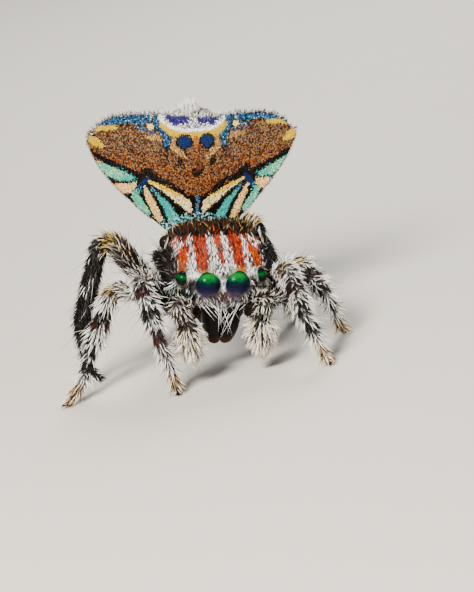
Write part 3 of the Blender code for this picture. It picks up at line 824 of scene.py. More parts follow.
@dataclass(frozen=True)
class CorneaFinish(Finish):
    """An eye's lens: clear polished chitin, its colours painted in bands by height; the bright green band
    high up is a painted reflection.
    """

    bands: tuple[tuple[float, str], ...] = ()
    rim: str = "05060a"
    cloud: float = 0.22  # how far the clouds move a band, as a share of the radius
    clouds: float = 5.0  # across a radius
    rim_from: float = 0.18
    rim_to: float = 0.52

    def inputs(self, tree: Tree) -> dict:
        """Clouded bands by the lens attribute, a place on a unit ball, dark where the lens turns away.

        Args:
            tree: Where the nodes go.

        Returns:
            The shader's inputs by name.
        """
        lens = put(tree, "ShaderNodeAttribute", attribute_name="lens").outputs["Vector"]
        place = put(tree, "ShaderNodeSeparateXYZ", (lens,)).outputs
        cloud = put(tree, "ShaderNodeTexNoise", {"Vector": lens, "Scale": self.clouds, "Detail": 4.0})
        drift = put(tree, "ShaderNodeMapRange", {"Value": cloud, "To Min": -self.cloud, "To Max": self.cloud})
        height = put(tree, "ShaderNodeMath", (place["Z"], drift), operation="ADD")
        share = put(tree, "ShaderNodeMapRange", {"Value": height, "From Min": -1.0, "From Max": 1.0})
        # The bands hold a painted reflection: the bright green band near the top of the lens.
        ramp = put(tree, "ShaderNodeValToRGB", (share,))
        stops = ramp.color_ramp.elements
        while len(stops) < len(self.bands):
            stops.new(0.5)
        for stop, (at, colour) in zip(stops, self.bands):
            stop.position = at
            stop.color = (*linear(colour), 1)
        edge = {"Value": place["Y"], "From Min": self.rim_from, "From Max": self.rim_to}
        edge = put(tree, "ShaderNodeMapRange", edge, interpolation_type="SMOOTHSTEP")
        colour = {"Factor": edge, 6: (*linear(self.rim), 1), 7: ramp}
        colour = put(tree, "ShaderNodeMix", colour, data_type="RGBA").outputs[2]
        shine = {"Roughness": 0.12, "Specular IOR Level": 0.05, "Coat Weight": 0.0, "Coat Roughness": 0.06}
        return {"Base Color": colour, **shine}


@dataclass(frozen=True)
class JawFinish(Finish):
    """Thick polished chitin of chelicerae, claws and mouthparts, finely wrinkled."""

    wrinkle_mm: float = 0.05  # real wrinkles are finer, and are drawn this coarse to show
    wrinkle_height_mm: float = 0.006

    def inputs(self, tree: Tree) -> dict:
        """The tint under a fine wrinkle.

        Args:
            tree: Where the nodes go.

        Returns:
            The shader's inputs by name.
        """
        tint = put(tree, "ShaderNodeAttribute", attribute_name="tint")
        place = put(tree, "ShaderNodeTexCoord").outputs["Object"]
        wrinkle = {"Vector": place, "Scale": 1 / (self.wrinkle_mm * MM), "Detail": 4.0}
        wrinkle = put(tree, "ShaderNodeTexNoise", wrinkle)
        bump = {"Strength": 0.3, "Distance": self.wrinkle_height_mm * MM, "Height": wrinkle}
        bump = put(tree, "ShaderNodeBump", bump)
        return {"Base Color": tint, "Normal": bump, "Roughness": 0.42, "Specular IOR Level": 0.1}


@dataclass(frozen=True)
class PlasterFinish(Finish):
    """The studio floor: matt pale plaster, faintly clouded."""

    colour: str = "bfb9b0"
    clouds: float = 120.0  # to the metre

    def inputs(self, tree: Tree) -> dict:
        """One colour in faint clouds.

        Args:
            tree: Where the nodes go.

        Returns:
            The shader's inputs by name.
        """
        place = put(tree, "ShaderNodeTexCoord").outputs["Object"]
        cloud = put(tree, "ShaderNodeTexNoise", {"Vector": place, "Scale": self.clouds, "Detail": 2.0})
        level = put(tree, "ShaderNodeMapRange", {"Value": cloud, "To Min": 0.97, "To Max": 1.03})
        shade = {0: tuple(linear(self.colour)), "Scale": level}
        return {"Base Color": put(tree, "ShaderNodeVectorMath", shade, operation="SCALE"), "Roughness": 0.9}


class Growth(Enum):
    """What grows from a root."""

    BRISTLE = "bristle"
    SCALE = "scale"


PATCH = 0.003  # size of each bristle's patch in the unwrap
COAT_INPUTS = {
    "Geometry": "Geometry", "Sides": "Int", "Segments": "Int", "Tip width": "Float", "Swell": "Float",
    "Length variation": "Float", "Seed": "Int", "Material": "Material",
}
ROOT_DATA = {
    "lie": "FLOAT_VECTOR", "out": "FLOAT_VECTOR", "size": "FLOAT_VECTOR",
    "tint": "FLOAT_COLOR", "bend": "FLOAT", "atlas": "FLOAT_VECTOR",
}
NAMED = "GeometryNodeInputNamedAttribute"
STORE = "GeometryNodeStoreNamedAttribute"


def coat_tree(growth: Growth) -> Tree:
    """Geometry Nodes that set one kind of growth on every root.

    Args:
        growth: Bristle or scale.

    Returns:
        The tree, with named inputs.
    """
    tree = bpy.data.node_groups.new(f"{growth.value}_coat", "GeometryNodeTree")
    for name, kind in COAT_INPUTS.items():
        tree.interface.new_socket(name=name, in_out="INPUT", socket_type=f"NodeSocket{kind}")
    tree.interface.new_socket(name="Geometry", in_out="OUTPUT", socket_type="NodeSocketGeometry")
    add = partial(put, tree)
    source = add("NodeGroupInput").outputs
    if growth is Growth.BRISTLE:
        form = {"Vertices": source["Sides"], "Side Segments": source["Segments"]}
        form |= {"Radius Top": source["Tip width"], "Radius Bottom": 0.5, "Depth": 1.0}
        shape = form = add("GeometryNodeMeshCone", form, fill_type="TRIANGLE_FAN")
    else:
        form = {"Segments": source["Sides"], "Rings": source["Segments"], "Radius": 0.5}
        form = add("GeometryNodeMeshUVSphere", form)
        # The ball's poles face out of the surface, and its length runs from root to tip.
        turned = {"Geometry": form, "Rotation": (math.pi / 2, 0, 0), "Translation": (0, 0, 0.5)}
        shape = add("GeometryNodeTransform", turned)

    # One blade of unit length, swollen in the middle, which knows how far up each point is.
    place = add("ShaderNodeSeparateXYZ", (add("GeometryNodeInputPosition"),)).outputs
    rest = add("ShaderNodeMath", (1.0, place["Z"]), operation="SUBTRACT")
    arch = add("ShaderNodeMath", (rest, place["Z"]), operation="MULTIPLY")
    swell = add("ShaderNodeMath", (arch, source["Swell"], 1.0), operation="MULTIPLY_ADD")
    wide = [add("ShaderNodeMath", (place[axis], swell), operation="MULTIPLY") for axis in ("X", "Y")]
    swollen = add("ShaderNodeCombineXYZ", (*wide, place["Z"]))
    blade = add("GeometryNodeSetPosition", {"Geometry": shape, "Position": swollen})
    reach = {"Geometry": blade, "Name": "reach", "Value": place["Z"]}
    blade = add(STORE, reach, data_type="FLOAT", domain="POINT")
    patch = {"Geometry": blade, "Name": "patch", "Value": form.outputs["UV Map"]}
    blade = add(STORE, patch, data_type="FLOAT_VECTOR", domain="CORNER")

    # A blade on every root, turned and sized by what the root carries.
    lie, out, size = (add(NAMED, {"Name": name}, data_type="FLOAT_VECTOR") for name in ("lie", "out", "size"))
    bend = add(NAMED, {"Name": "bend"}, data_type="FLOAT")
    axes = {"Primary Axis": lie, "Secondary Axis": out}
    turn = add("FunctionNodeAxesToRotation", axes, primary_axis="Z", secondary_axis="Y")
    spread = (1.0, source["Length variation"])
    low, high = (add("ShaderNodeMath", spread, operation=way) for way in ("SUBTRACT", "ADD"))
    vary = add("FunctionNodeRandomValue", {2: low, 3: high, "Seed": source["Seed"]}, data_type="FLOAT")
    parts = add("ShaderNodeSeparateXYZ", (size,)).outputs
    length = add("ShaderNodeMath", (parts["Z"], vary.outputs[1]), operation="MULTIPLY")
    scale = add("ShaderNodeCombineXYZ", (parts["X"], parts["Y"], length))
    grown = {"Points": source["Geometry"], "Instance": blade, "Rotation": turn, "Scale": scale}
    plain = add("GeometryNodeRealizeInstances", (add("GeometryNodeInstanceOnPoints", grown),))

    # The tips leave the straight line, and every blade gets its patch of the unwrap.
    pull = add(NAMED, {"Name": "reach"}, data_type="FLOAT")
    for factor in (pull, bend, parts["Z"]):
        pull = add("ShaderNodeMath", (pull, factor), operation="MULTIPLY")
    curl = add("ShaderNodeVectorMath", {0: out, "Scale": pull}, operation="SCALE")
    bent = add("GeometryNodeSetPosition", {"Geometry": plain, "Offset": curl})
    patch, atlas = (add(NAMED, {"Name": name}, data_type="FLOAT_VECTOR") for name in ("patch", "atlas"))
    spot = add("ShaderNodeVectorMath", (patch, (PATCH, PATCH, 0.0), atlas), operation="MULTIPLY_ADD")
    spot = {"Geometry": bent, "Name": "OFBake", "Value": spot}
    smooth = add("GeometryNodeSetShadeSmooth", (add(STORE, spot, data_type="FLOAT2", domain="CORNER"),))
    dressed = {"Geometry": smooth, "Material": source["Material"]}
    add("NodeGroupOutput", (add("GeometryNodeSetMaterial", dressed),))
    return tree


@dataclass
class Coat:
    """Many bristles or scales of one kind, gathered root by root, and turned to one mesh."""

    name: str
    material: Material
    growth: Growth = Growth.BRISTLE
    sides: int = 3
    segments: int = 3
    tip: float = 0.06
    swell: float = 1.2
    variation: float = 0.22
    rows: list[dict[str, Array]] = field(default_factory=list)

    def add(
        self,
        roots: Roots,
        lie: Array,
        width: Array | float,
        length: Array | float,
        tint: Array,
        bend: Array | float = 0.0,
        flat: float = 0.55,
        sink: float = 0.012,
    ) -> None:
        """Adds one bristle for each root.

        Args:
            roots: Where they grow.
            lie: The way each one points.
            width: Width in mm.
            length: Length in mm.
            tint: Linear RGB of each.
            bend: How far the tip leaves the line, outward, as a share of the length.
            flat: Thickness as a share of the width.
            sink: How deep each one is set, in mm.
        """
        if not roots.count:
            return
        ones = np.ones(roots.count)
        at, lie = roots.at - roots.out * sink, unit(lie)
        # A tip that would end below the ground is turned up until it clears it.
        reach = ones * length * (1 + self.variation)
        rise = np.maximum(lie[:, 2], (GROUND_GAP - at[:, 2]) / reach - roots.out[:, 2] * bend)
        rise = np.where(at[:, 2] < NEAR_GROUND, np.clip(rise, -1, 0.9), lie[:, 2])
        level = np.sqrt(1 - rise**2) / np.maximum(np.hypot(lie[:, 0], lie[:, 1]), 1e-6)
        row = {"at": at, "lie": np.column_stack([lie[:, :2] * level[:, None], rise]), "out": roots.out}
        row |= {"size": stack(ones * width, ones * width * flat, ones * length), "tint": np.clip(tint, 0, 1)}
        row |= {"bend": ones * bend, "atlas": np.column_stack([roots.atlas, 0 * ones])}
        self.rows.append(row)

    def joined(self, key: str) -> Array:
        """One attribute of all the bristles."""
        return np.concatenate([row[key] for row in self.rows])

    def build(self, studio: Studio, seed: int, slot: str) -> "Coat":
        """Runs the node tree on the roots, and settles its result as a plain mesh.

        Args:
            studio: Where the shape goes.
            seed: For the lengths.
            slot: Passed on to settle, which does not use it.

        Returns:
            The coat itself.
        """
        made = studio.mesh(self.name, self.joined("at") + studio.shift, [])
        for key, kind in ROOT_DATA.items():
            set_attribute(made.data, key, self.joined(key), kind)
        modifier = made.modifiers.new("coat", "NODES")
        modifier.node_group = studio.trees[self.growth]
        values = {"Sides": self.sides, "Segments": self.segments, "Tip width": self.tip, "Swell": self.swell}
        values |= {"Length variation": self.variation, "Seed": seed, "Material": self.material}
        for item in modifier.node_group.interface.items_tree:
            if item.in_out == "INPUT" and item.name in values:
                modifier[item.identifier] = values[item.name]
        result = studio.bake(made)
        for key in (*ROOT_DATA, "patch"):
            if key != "tint" and key in result.attributes:
                result.attributes.remove(result.attributes[key])
        result.transform(Matrix.Scale(MM, 4))
        result.update()
        settle(made, slot)
        return self


def lay(roots: Roots, toward: Array, splay: Array | float, sway: Array | float, rng: Rng) -> Array:
    """Lays bristles along a surface.

    Args:
        roots: Where they grow.
        toward: The way they should run.
        splay: How far each lifts off the surface, in degrees.
        sway: Spread to either side, in degrees.
        rng: The random source.

    Returns:
        The way each one points.
    """
    flat = unit(toward - roots.out * (toward * roots.out).sum(1, keepdims=True))
    side = np.cross(roots.out, flat)
    turn = np.radians(rng.normal(0, sway, roots.count))[:, None]
    flat = flat * np.cos(turn) + side * np.sin(turn)
    lift = np.radians(np.ones(roots.count) * splay * rng.uniform(0.7, 1.35, roots.count))[:, None]
    return flat * np.cos(lift) + roots.out * np.sin(lift)


@dataclass(frozen=True)
class Marking:
    """A painted mark: points, pigments, how solidly it covers, edge in mm, and share of its hairs' length."""

    points: Table
    blend: Mix
    cover: float = 1.0
    ragged: float = 0.006
    length: float = 1.0

    def depth(self, x: Array, y: Array) -> Array:
        """How far inside the mark each place is, in mm, below zero outside."""
        raise NotImplementedError

    def covers(self, x: Array, y: Array, rng: Rng) -> Array:
        """Which places the mark colours, with its edge roughened."""
        inside = self.depth(x, y) + rng.normal(0, self.ragged, len(x)) > 0
        return inside & (rng.random(len(x)) < self.cover)


class Streak(Marking):
    """A painted line through centre points with half widths, or one round spot."""

    def depth(self, x: Array, y: Array) -> Array:
        """How far inside the line each place is.

        Args:
            x: Across.
            y: Up.

        Returns:
            Depths in mm, below zero outside.
        """
        best = np.full(len(x), -9.0)
        line = self.points if len(self.points) > 1 else self.points * 2
        for (ax, ay, ar), (bx, by, br) in zip(line, line[1:]):
            dx, dy = bx - ax, by - ay
            t = np.clip(((x - ax) * dx + (y - ay) * dy) / max(dx * dx + dy * dy, TINY), 0, 1)
            best = np.maximum(best, ar + (br - ar) * t - np.hypot(x - ax - t * dx, y - ay - t * dy))
        return best


class Patch(Marking):
    """A painted area inside an outline."""

    def depth(self, x: Array, y: Array) -> Array:
        """How far inside the outline each place is.

        Args:
            x: Across.
            y: Up.

        Returns:
            Depths in mm, below zero outside.
        """
        inside = np.zeros(len(x), bool)
        distance = np.full(len(x), 9.0)
        for (ax, ay), (bx, by) in zip(self.points, self.points[1:] + self.points[:1]):
            dx, dy = bx - ax, by - ay
            edge = ax + dx * (y - ay) / (dy if abs(dy) > TINY else TINY)
            inside ^= ((ay > y) != (by > y)) & (x < edge)
            t = np.clip(((x - ax) * dx + (y - ay) * dy) / (dx * dx + dy * dy), 0, 1)
            distance = np.minimum(distance, np.hypot(x - ax - t * dx, y - ay - t * dy))
        return np.where(inside, distance, -distance)


BLACK = mix(soot=0.94, umber=0.06)
TURQUOISE = mix(turquoise=0.62, teal=0.26, mint=0.12)
GREEN = mix(mint=0.62, turquoise=0.32, cream=0.06)
PEACH = mix(peach=0.74, cream=0.22, orange=0.04)
BLUE = mix(steel=0.48, sky=0.1, ice=0.03, navy=0.2, soot=0.19)
DEEP = mix(navy=0.8, indigo=0.2)
VIOLET = mix(indigo=0.55, violet=0.38, lilac=0.07)
YELLOW = mix(yellow=0.9, gold=0.1)
CREAM = mix(cream=0.5, lemon=0.28, yellow=0.1, soot=0.12)
TAN = mix(tan=0.7, peach=0.22, brown=0.08)
WHITE = mix(snow=0.88, lilac=0.12)
CROWN = mix(white=0.5, lilac=0.3, indigo=0.2)
SPECKLE = mix(turquoise=0.26, ice=0.34, soot=0.4)
STRAND = mix(steel=0.46, grey=0.36, soot=0.18)
EMBER = mix(orange=0.62, tan=0.38)
FAN_GROUND = mix(tan=0.17, brown=0.43, dun=0.19, soot=0.19, orange=0.04)
FAN_WARM = mix(orange=0.33, tan=0.12, brown=0.19, rust=0.14, soot=0.22)
FAN_TOP = mix(soot=0.44, steel=0.26, lilac=0.18, white=0.12)
FAN_BACK = mix(grey=0.46, dun=0.44, cream=0.04, tan=0.06)

# The fan's marks, the same on both halves, in mm from its midline and its foot.
FAN_MARKS = (
    # Steel-blue top border, its speckled inner end, and the white glints on the tip's rim.
    Patch(
        ((0.42, 2.2), (1.6, 2.2), (1.6, 1.72), (1.48, 1.8), (1.32, 1.865), (1.0, 1.875), (0.72, 1.84)),
        BLUE,
    ),
    Streak(
        ((1.36, 1.8, 0.022), (1.14, 1.855, 0.02), (0.92, 1.85, 0.022), (0.72, 1.83, 0.02)),
        BLACK, 0.6, 0.012,
    ),
    Patch(((0.46, 1.92), (0.86, 1.88), (0.8, 1.74), (0.6, 1.66), (0.4, 1.7)), BLUE, 0.5, 0.02),
    Streak(((1.52, 1.76, 0.01), (1.45, 1.86, 0.014), (1.33, 1.93, 0.01)), WHITE, 0.8),
    Streak(((1.45, 1.835, 0.026), (1.3, 1.838, 0.042), (1.12, 1.82, 0.024)), YELLOW),
    Streak(((1.54, 1.71, 0.038), (1.46, 1.64, 0.066), (1.36, 1.56, 0.03)), YELLOW),
    # Tan flecks below the border and beside the spots.
    Streak(((0.71, 1.635, 0.03), (0.6, 1.63, 0.052), (0.5, 1.61, 0.035)), TAN, 0.9),
    Streak(((0.37, 1.51, 0.034), (0.27, 1.4, 0.04), (0.17, 1.3, 0.03)), TAN),
    Streak(((0.35, 1.66, 0.034), (0.315, 1.56, 0.042), (0.32, 1.49, 0.02)), TAN, 0.95),
    # Blue streak with a dark rim, which fades to a dark one.
    Streak(((0.436, 1.52, 0.045), (0.44, 1.37, 0.026), (0.44, 1.26, 0.01)), BLACK, 0.7),
    Streak(((0.51, 1.87, 0.095), (0.45, 1.74, 0.092), (0.43, 1.62, 0.076), (0.43, 1.5, 0.05)), BLACK, 0.75),
    Streak(((0.51, 1.87, 0.075), (0.45, 1.74, 0.074), (0.43, 1.62, 0.056), (0.43, 1.5, 0.036)), BLUE),
    # The pale crown: white round two violet patches, over a yellow arc.
    Patch(
        ((0.0, 2.2), (0.47, 2.2), (0.49, 1.95), (0.46, 1.85), (0.34, 1.74), (0.18, 1.7), (0.0, 1.69)),
        CROWN,
    ),
    Streak(((0.33, 1.99, 0.09), (0.24, 1.945, 0.14), (0.15, 1.905, 0.095)), VIOLET, 1.0, 0.012),
    Streak(
        (
            (0.48, 1.96, 0.024), (0.45, 1.86, 0.028), (0.33, 1.768, 0.027),
            (0.18, 1.722, 0.026), (0.0, 1.712, 0.028),
        ),
        WHITE,
    ),
    Streak(((0.47, 1.81, 0.036), (0.35, 1.698, 0.052), (0.18, 1.65, 0.048), (0.0, 1.636, 0.062)), YELLOW),
    Streak(((0.0, 1.58, 0.05), (0.0, 1.5, 0.04), (0.0, 1.4, 0.02)), EMBER, 0.85),
    Streak(((0.635, 1.795, 0.066),), BLACK, 0.6),
    Streak(((0.635, 1.795, 0.048),), mix(lemon=0.7, cream=0.3)),
    # Blue spots, dark spots and the dark mark in the middle.
    Streak(((0.167, 1.545, 0.122),), BLACK, 0.9),
    Streak(((0.167, 1.548, 0.094),), DEEP),
    Streak(((0.245, 1.25, 0.055), (0.21, 1.21, 0.04)), BLACK, 0.85, 0.02),
    Streak(((0.0, 1.03, 0.055), (0.055, 1.065, 0.035)), BLACK, 1.0, 0.012),
    # Black scalloped band below the brown ground.
    Streak(
        (
            (1.52, 1.48, 0.026), (1.34, 1.345, 0.042), (1.17, 1.215, 0.05),
            (1.0, 1.115, 0.055), (0.86, 1.05, 0.05),
        ),
        BLACK,
    ),
    Streak(((0.76, 1.11, 0.06), (0.66, 1.01, 0.07), (0.57, 0.96, 0.05)), BLACK, 1.0, 0.016),
    Streak(((0.57, 0.955, 0.046), (0.47, 0.93, 0.05), (0.4, 0.9, 0.03)), BLACK, 1.0, 0.02),
    Streak(((0.36, 0.85, 0.036), (0.3, 0.82, 0.048), (0.22, 0.76, 0.034)), BLACK, 1.0, 0.02),
    Streak(
        ((0.7, 0.975, 0.024), (0.4, 0.83, 0.024), (0.24, 0.73, 0.024), (0.0, 0.665, 0.04)),
        BLACK, 0.6, 0.014,
    ),
    # Everything below the band starts black; the coloured stripes are laid on it.
    Patch(
        (
            (1.36, 1.3), (1.0, 1.09), (0.8, 1.06), (0.7, 0.98), (0.6, 0.91), (0.3, 0.74),
            (0.0, 0.665), (0.0, 0.0), (0.9, 0.0), (1.5, 1.0),
        ),
        BLACK,
    ),
    Patch(
        ((1.44, 1.35), (1.14, 1.165), (0.91, 1.01), (0.96, 0.975), (1.14, 0.995), (1.3, 1.08), (1.5, 1.3)),
        GREEN,
    ),
    Patch(((1.12, 1.15), (0.91, 1.01), (0.96, 0.975), (1.08, 0.985)), TURQUOISE, 0.9, 0.03),
    Patch(((1.26, 0.955), (0.97, 0.94), (0.885, 0.945), (0.89, 0.87), (0.97, 0.78), (1.16, 0.8)), PEACH),
    Streak(((0.92, 0.79, 0.032), (0.905, 0.72, 0.052), (0.83, 0.6, 0.057), (0.73, 0.46, 0.042)), GREEN),
    Streak(((0.745, 0.985, 0.034), (0.8, 0.9, 0.036), (0.865, 0.83, 0.032)), DEEP),
    Streak(((0.865, 0.82, 0.026), (0.885, 0.77, 0.026)), TURQUOISE, 0.9, 0.02),
    Streak(((0.77, 0.85, 0.022), (0.705, 0.69, 0.046), (0.615, 0.49, 0.056), (0.555, 0.35, 0.044)), PEACH),
    Streak(
        (
            (0.675, 0.835, 0.014), (0.565, 0.705, 0.03), (0.45, 0.55, 0.056),
            (0.37, 0.4, 0.072), (0.31, 0.28, 0.082),
        ),
        TURQUOISE,
    ),
    Streak(((0.675, 0.835, 0.016), (0.6, 0.755, 0.026)), BLUE),
    Streak(
        (
            (0.7, 0.93, 0.018), (0.54, 0.85, 0.036), (0.38, 0.748, 0.052),
            (0.25, 0.645, 0.066), (0.15, 0.56, 0.068), (0.11, 0.48, 0.042),
        ),
        CREAM,
    ),
    Streak(((0.7, 0.945, 0.014), (0.54, 0.872, 0.018), (0.39, 0.782, 0.022), (0.25, 0.7, 0.022)), YELLOW),
    Streak(((0.0, 0.66, 0.03), (0.0, 0.5, 0.022), (0.0, 0.28, 0.035)), STRAND),
    Patch(
        ((0.0, 0.38), (0.16, 0.4), (0.32, 0.34), (0.55, 0.28), (0.55, 0.0), (0.0, 0.0)),
        SPECKLE, 0.8, 0.04,
    ),
)
# The fan's midline leans a little: height, and how far it is to the left there.
FAN_MIDLINE = ((0.3, -0.02), (0.7, 0.012), (1.04, 0.044), (1.7, 0.055), (1.9, 0.034))


def fan_tint(x: Array, y: Array, rng: Rng) -> Array:
    """The colour of a scale at each place of the fan.

    Args:
        x: Across the fan.
        y: Up the fan.
        rng: The random source.

    Returns:
        Linear RGB rows.
    """
    across = x - np.interp(y, *zip(*FAN_MIDLINE))
    across, height = np.where(across > 0, across * 1.06, -across), y + 0.06 * np.maximum(x - 0.1, 0)
    count = len(x)
    tint = pick(rng, count, FAN_GROUND)
    # The ground warms towards the black band and down the middle.
    warm = 0.55 * (1 - smoothstep(0.92, 1.36, height - 0.25 * across))
    warm = np.maximum(warm, 0.9 * np.exp(-((across / 0.22) ** 2) - ((height - 1.1) / 0.35) ** 2))
    mask = rng.random(count) < warm
    tint[mask] = pick(rng, int(mask.sum()), FAN_WARM)
    mask = (height > 1.84 + 0.1 * rng.random(count)) & (across < 0.9)
    tint[mask] = pick(rng, int(mask.sum()), FAN_TOP)
    for mark in FAN_MARKS:
        mask = mark.covers(across, height, rng)
        tint[mask] = pick(rng, int(mask.sum()), mark.blend)
    return tint * rng.uniform(0.8, 1.12, count)[:, None]


@dataclass
class Fan:
    """The raised fan: a thin curved plate with scales on both faces and a fringe round it."""

    studio: Studio
    thickness: float = 0.06
    rim: float = 0.022
    rows: int = 72
    wing_columns: int = 30
    middle_columns: int = 36
    foot_width: float = 0.46
    turn_from: float = 0.6
    top_from: float = 0.85
    turn_in: float = 0.5
    top_width: float = 0.82
    scale_size: tuple[float, float] = (0.0176, 0.034)
    scale_step: float = 0.0168
    back_scale_size: tuple[float, float] = (0.024, 0.072)
    back_scale_step: float = 0.0168 * 1.65
    scale_lift: tuple[float, float] = (9.0, 10.0)  # degrees off the face and off the back
    scale_sway: tuple[float, float] = (16.0, 20.0)
    lattice_rise: float = 0.86  # a row's height as a share of the step
    jitter: float = 0.28
    fringe_hairs: int = 2600
    fringe_width: float = 0.0075
    # Painted shade under the scales: how far the plate's tint is darkened on its face and on its back.
    painted_shade_under_scales: tuple[float, float] = (0.5, 0.4)  # of the plate's face and back, below their scales

    def outer(self, side: str, t: float) -> tuple[float, float]:
        """The free edge, from the foot out along the lower side, round the tip and along the top.

        Args:
            side: Left or right.
            t: Share of the way.

        Returns:
            Distance from the midline and height.
        """
        reach, tip, top = FLAP_REACH[side], FLAP_TIP_HEIGHT[side], FLAP_TOP_HEIGHT[side]
        if t < self.turn_from:
            rise = t / self.turn_from
            wide = (reach - self.foot_width) * (1 - (1 - rise) ** FLAP_FULLNESS[side])
            return self.foot_width + wide, FLAP_FOOT + (tip - FLAP_FOOT) * rise
        if t < self.top_from:
            turn = (t - self.turn_from) / 0.25
            return reach - self.turn_in * turn, tip + (top - tip) * (1 - (1 - turn) ** 2.2)
        return reach - self.turn_in - (reach - self.top_width) * (t - self.top_from) / 0.15, top

    def inner(self, side: str, t: float) -> tuple[float, float]:
        """The hinge line beside the abdomen: distance from the midline and height, a share of the way up."""
        y = FLAP_FOOT + (FLAP_TOP_HEIGHT[side] - 0.02 - FLAP_FOOT) * t
        return float(read(ABDOMEN_WIDTH, y)), y

    @staticmethod
    def relief(x: Array) -> Array:
        """Height of the patterned face: domed over the abdomen, with the wings curling forward."""
        curl = 0.11 * np.maximum(np.abs(x) - 0.6, 0) ** 2
        return ABDOMEN_MIDDLE + 0.042 + curl + 0.075 * (1 - smoothstep(0.22, 0.78, np.abs(x)))

    @staticmethod
    def border(grid: Array) -> Array:
        """The outermost entries of a grid, once round."""
        return np.concatenate([grid[0], grid[1:, -1], grid[-1, -2::-1], grid[-2:0:-1, 0]])

    def grid(self) -> Array:
        """The plate's middle surface as rows from foot to top and columns from right to left.

        Returns:
            Rows by columns of x and y.
        """
        s = (np.arange(self.wing_columns + 1) / self.wing_columns) ** 0.9
        inward = np.arange(1, self.middle_columns)[:, None] / self.middle_columns
        rows = []
        for i in range(self.rows + 1):
            wings = {}
            for side, sign in SIDES.items():
                (ox, oy), (ix, iy) = self.outer(side, i / self.rows), self.inner(side, i / self.rows)
                ox = max(ox, ix + 0.012)
                wings[side] = stack((ix + (ox - ix) * s) * sign, iy + (oy - iy) * s)
            right, left = wings["right"][::-1], wings["left"]
            rows.append(np.concatenate([right, right[-1] * (1 - inward) + left[0] * inward, left]))
        return np.array(rows)

    def plate(self) -> None:
        """The plate itself, darkened with painted shade under its scales."""
        grid, rng = self.grid(), self.studio.rng
        x, y = grid[..., 0], grid[..., 1]
        front = self.relief(x)
        down, along = (np.minimum(np.arange(n), n - 1 - np.arange(n)) / 3 for n in x.shape)
        edge = np.minimum(down[:, None], along)
        thick = self.rim + (self.thickness - self.rim) * smoothstep(0, 1, edge)
        points = np.concatenate([FAN.point(stack(x, y, z)).reshape(-1, 3) for z in (front, front - thick)])
        total, index = x.size, np.arange(x.size).reshape(x.shape)
        quads = stack(index[:-1, :-1], index[:-1, 1:], index[1:, 1:], index[1:, :-1]).reshape(-1, 4)
        faces = [face for quad in quads.tolist() for face in (quad, [i + total for i in quad[::-1]])]
        rim = self.border(index).tolist()
        faces += [(a + total, b + total, b, a) for a, b in zip(rim, rim[1:] + rim[:1])]
        made = self.studio.mesh("fan_plate", self.studio.world(points), faces, self.studio.cuticle)
        tint = fan_tint(x.ravel(), y.ravel(), rng)
        back = pick(rng, total, Coating.BROWNISH.value)
        # Painted shade: the plate's own tints are darkened where its scales would shade it.
        front_painted_shade, back_painted_shade = self.painted_shade_under_scales
        set_attribute(made.data, "tint", np.concatenate([tint * front_painted_shade, back * back_painted_shade]))
        settle(made, "fan_scales", "fan_flap_left", "fan_flap_right")

    def roots(self, step: float, front: bool) -> tuple[Roots, Array]:
        """Roots on a close lattice over one face.

        Args:
            step: Lattice spacing.
            front: The patterned face, or the one behind.

        Returns:
            The roots, and their fan coordinates.
        """
        rng = self.studio.rng
        outline = self.border(self.grid())
        low, high = outline.min(0), outline.max(0)
        up = np.arange(low[1], high[1], step * self.lattice_rise)
        x, y = np.meshgrid(np.arange(low[0], high[0], step), up)
        x = x + (np.arange(len(up)) % 2)[:, None] * step / 2
        spread = (-self.jitter, self.jitter)
        x, y = ((axis + rng.uniform(*spread, axis.shape) * step).ravel() for axis in (x, y))
        inside = Patch(tuple(map(tuple, outline)), ()).depth(x, y) > 0.004
        x, y = x[inside], y[inside]
        slope = (self.relief(x + 0.01) - self.relief(x - 0.01)) / 0.02
        normal = FAN.direction(stack(-slope, 0.0, 1.0))
        at = FAN.point(stack(x, y, self.relief(x) - (0 if front else self.thickness)))
        flat = stack(x, y)
        return Roots(at, normal if front else -normal, 0.02 + 0.96 * (flat - low) / (high - low)), flat

    def scale_coat(self, name: str, variation: float) -> Coat:
        """An empty coat for scales."""
        look = {"sides": 6, "segments": 2, "swell": 0.0, "variation": variation}
        return Coat(name, self.studio.scale, Growth.SCALE, **look)

    def scales(self) -> None:
        """The scales of both faces."""
        studio, rng = self.studio, self.studio.rng
        roots, flat = self.roots(self.scale_step, True)
        tint = fan_tint(flat[:, 0], flat[:, 1], rng)
        toward = FAN.y + FAN.x * flat[:, :1] * 0.5
        for seed, (side, keep) in enumerate((("right", flat[:, 0] <= 0), ("left", flat[:, 0] > 0))):
            coat, some = self.scale_coat(f"fan_scales_{side}", 0.2), roots.only(keep)
            lie = lay(some, toward[keep], self.scale_lift[0], self.scale_sway[0], rng)
            coat.add(some, lie, *self.scale_size, tint[keep], flat=0.22, sink=0.002)
            coat.build(studio, SEED + seed, "fan_scales")
        roots, flat = self.roots(self.back_scale_step, False)
        behind = np.abs(flat[:, 0]) > read(ABDOMEN_WIDTH, flat[:, 1]) - 0.06
        roots, flat = roots.only(behind), flat[behind]
        coat = self.scale_coat("fan_back_scales", 0.25)
        toward = FAN.y + FAN.x * flat[:, :1] * 0.5
        lie = lay(roots, toward, self.scale_lift[1], self.scale_sway[1], rng)
        coat.add(roots, lie, *self.back_scale_size, pick(rng, roots.count, FAN_BACK), flat=0.2, sink=0.003)
        coat.build(studio, SEED + 2, "fan_scales")

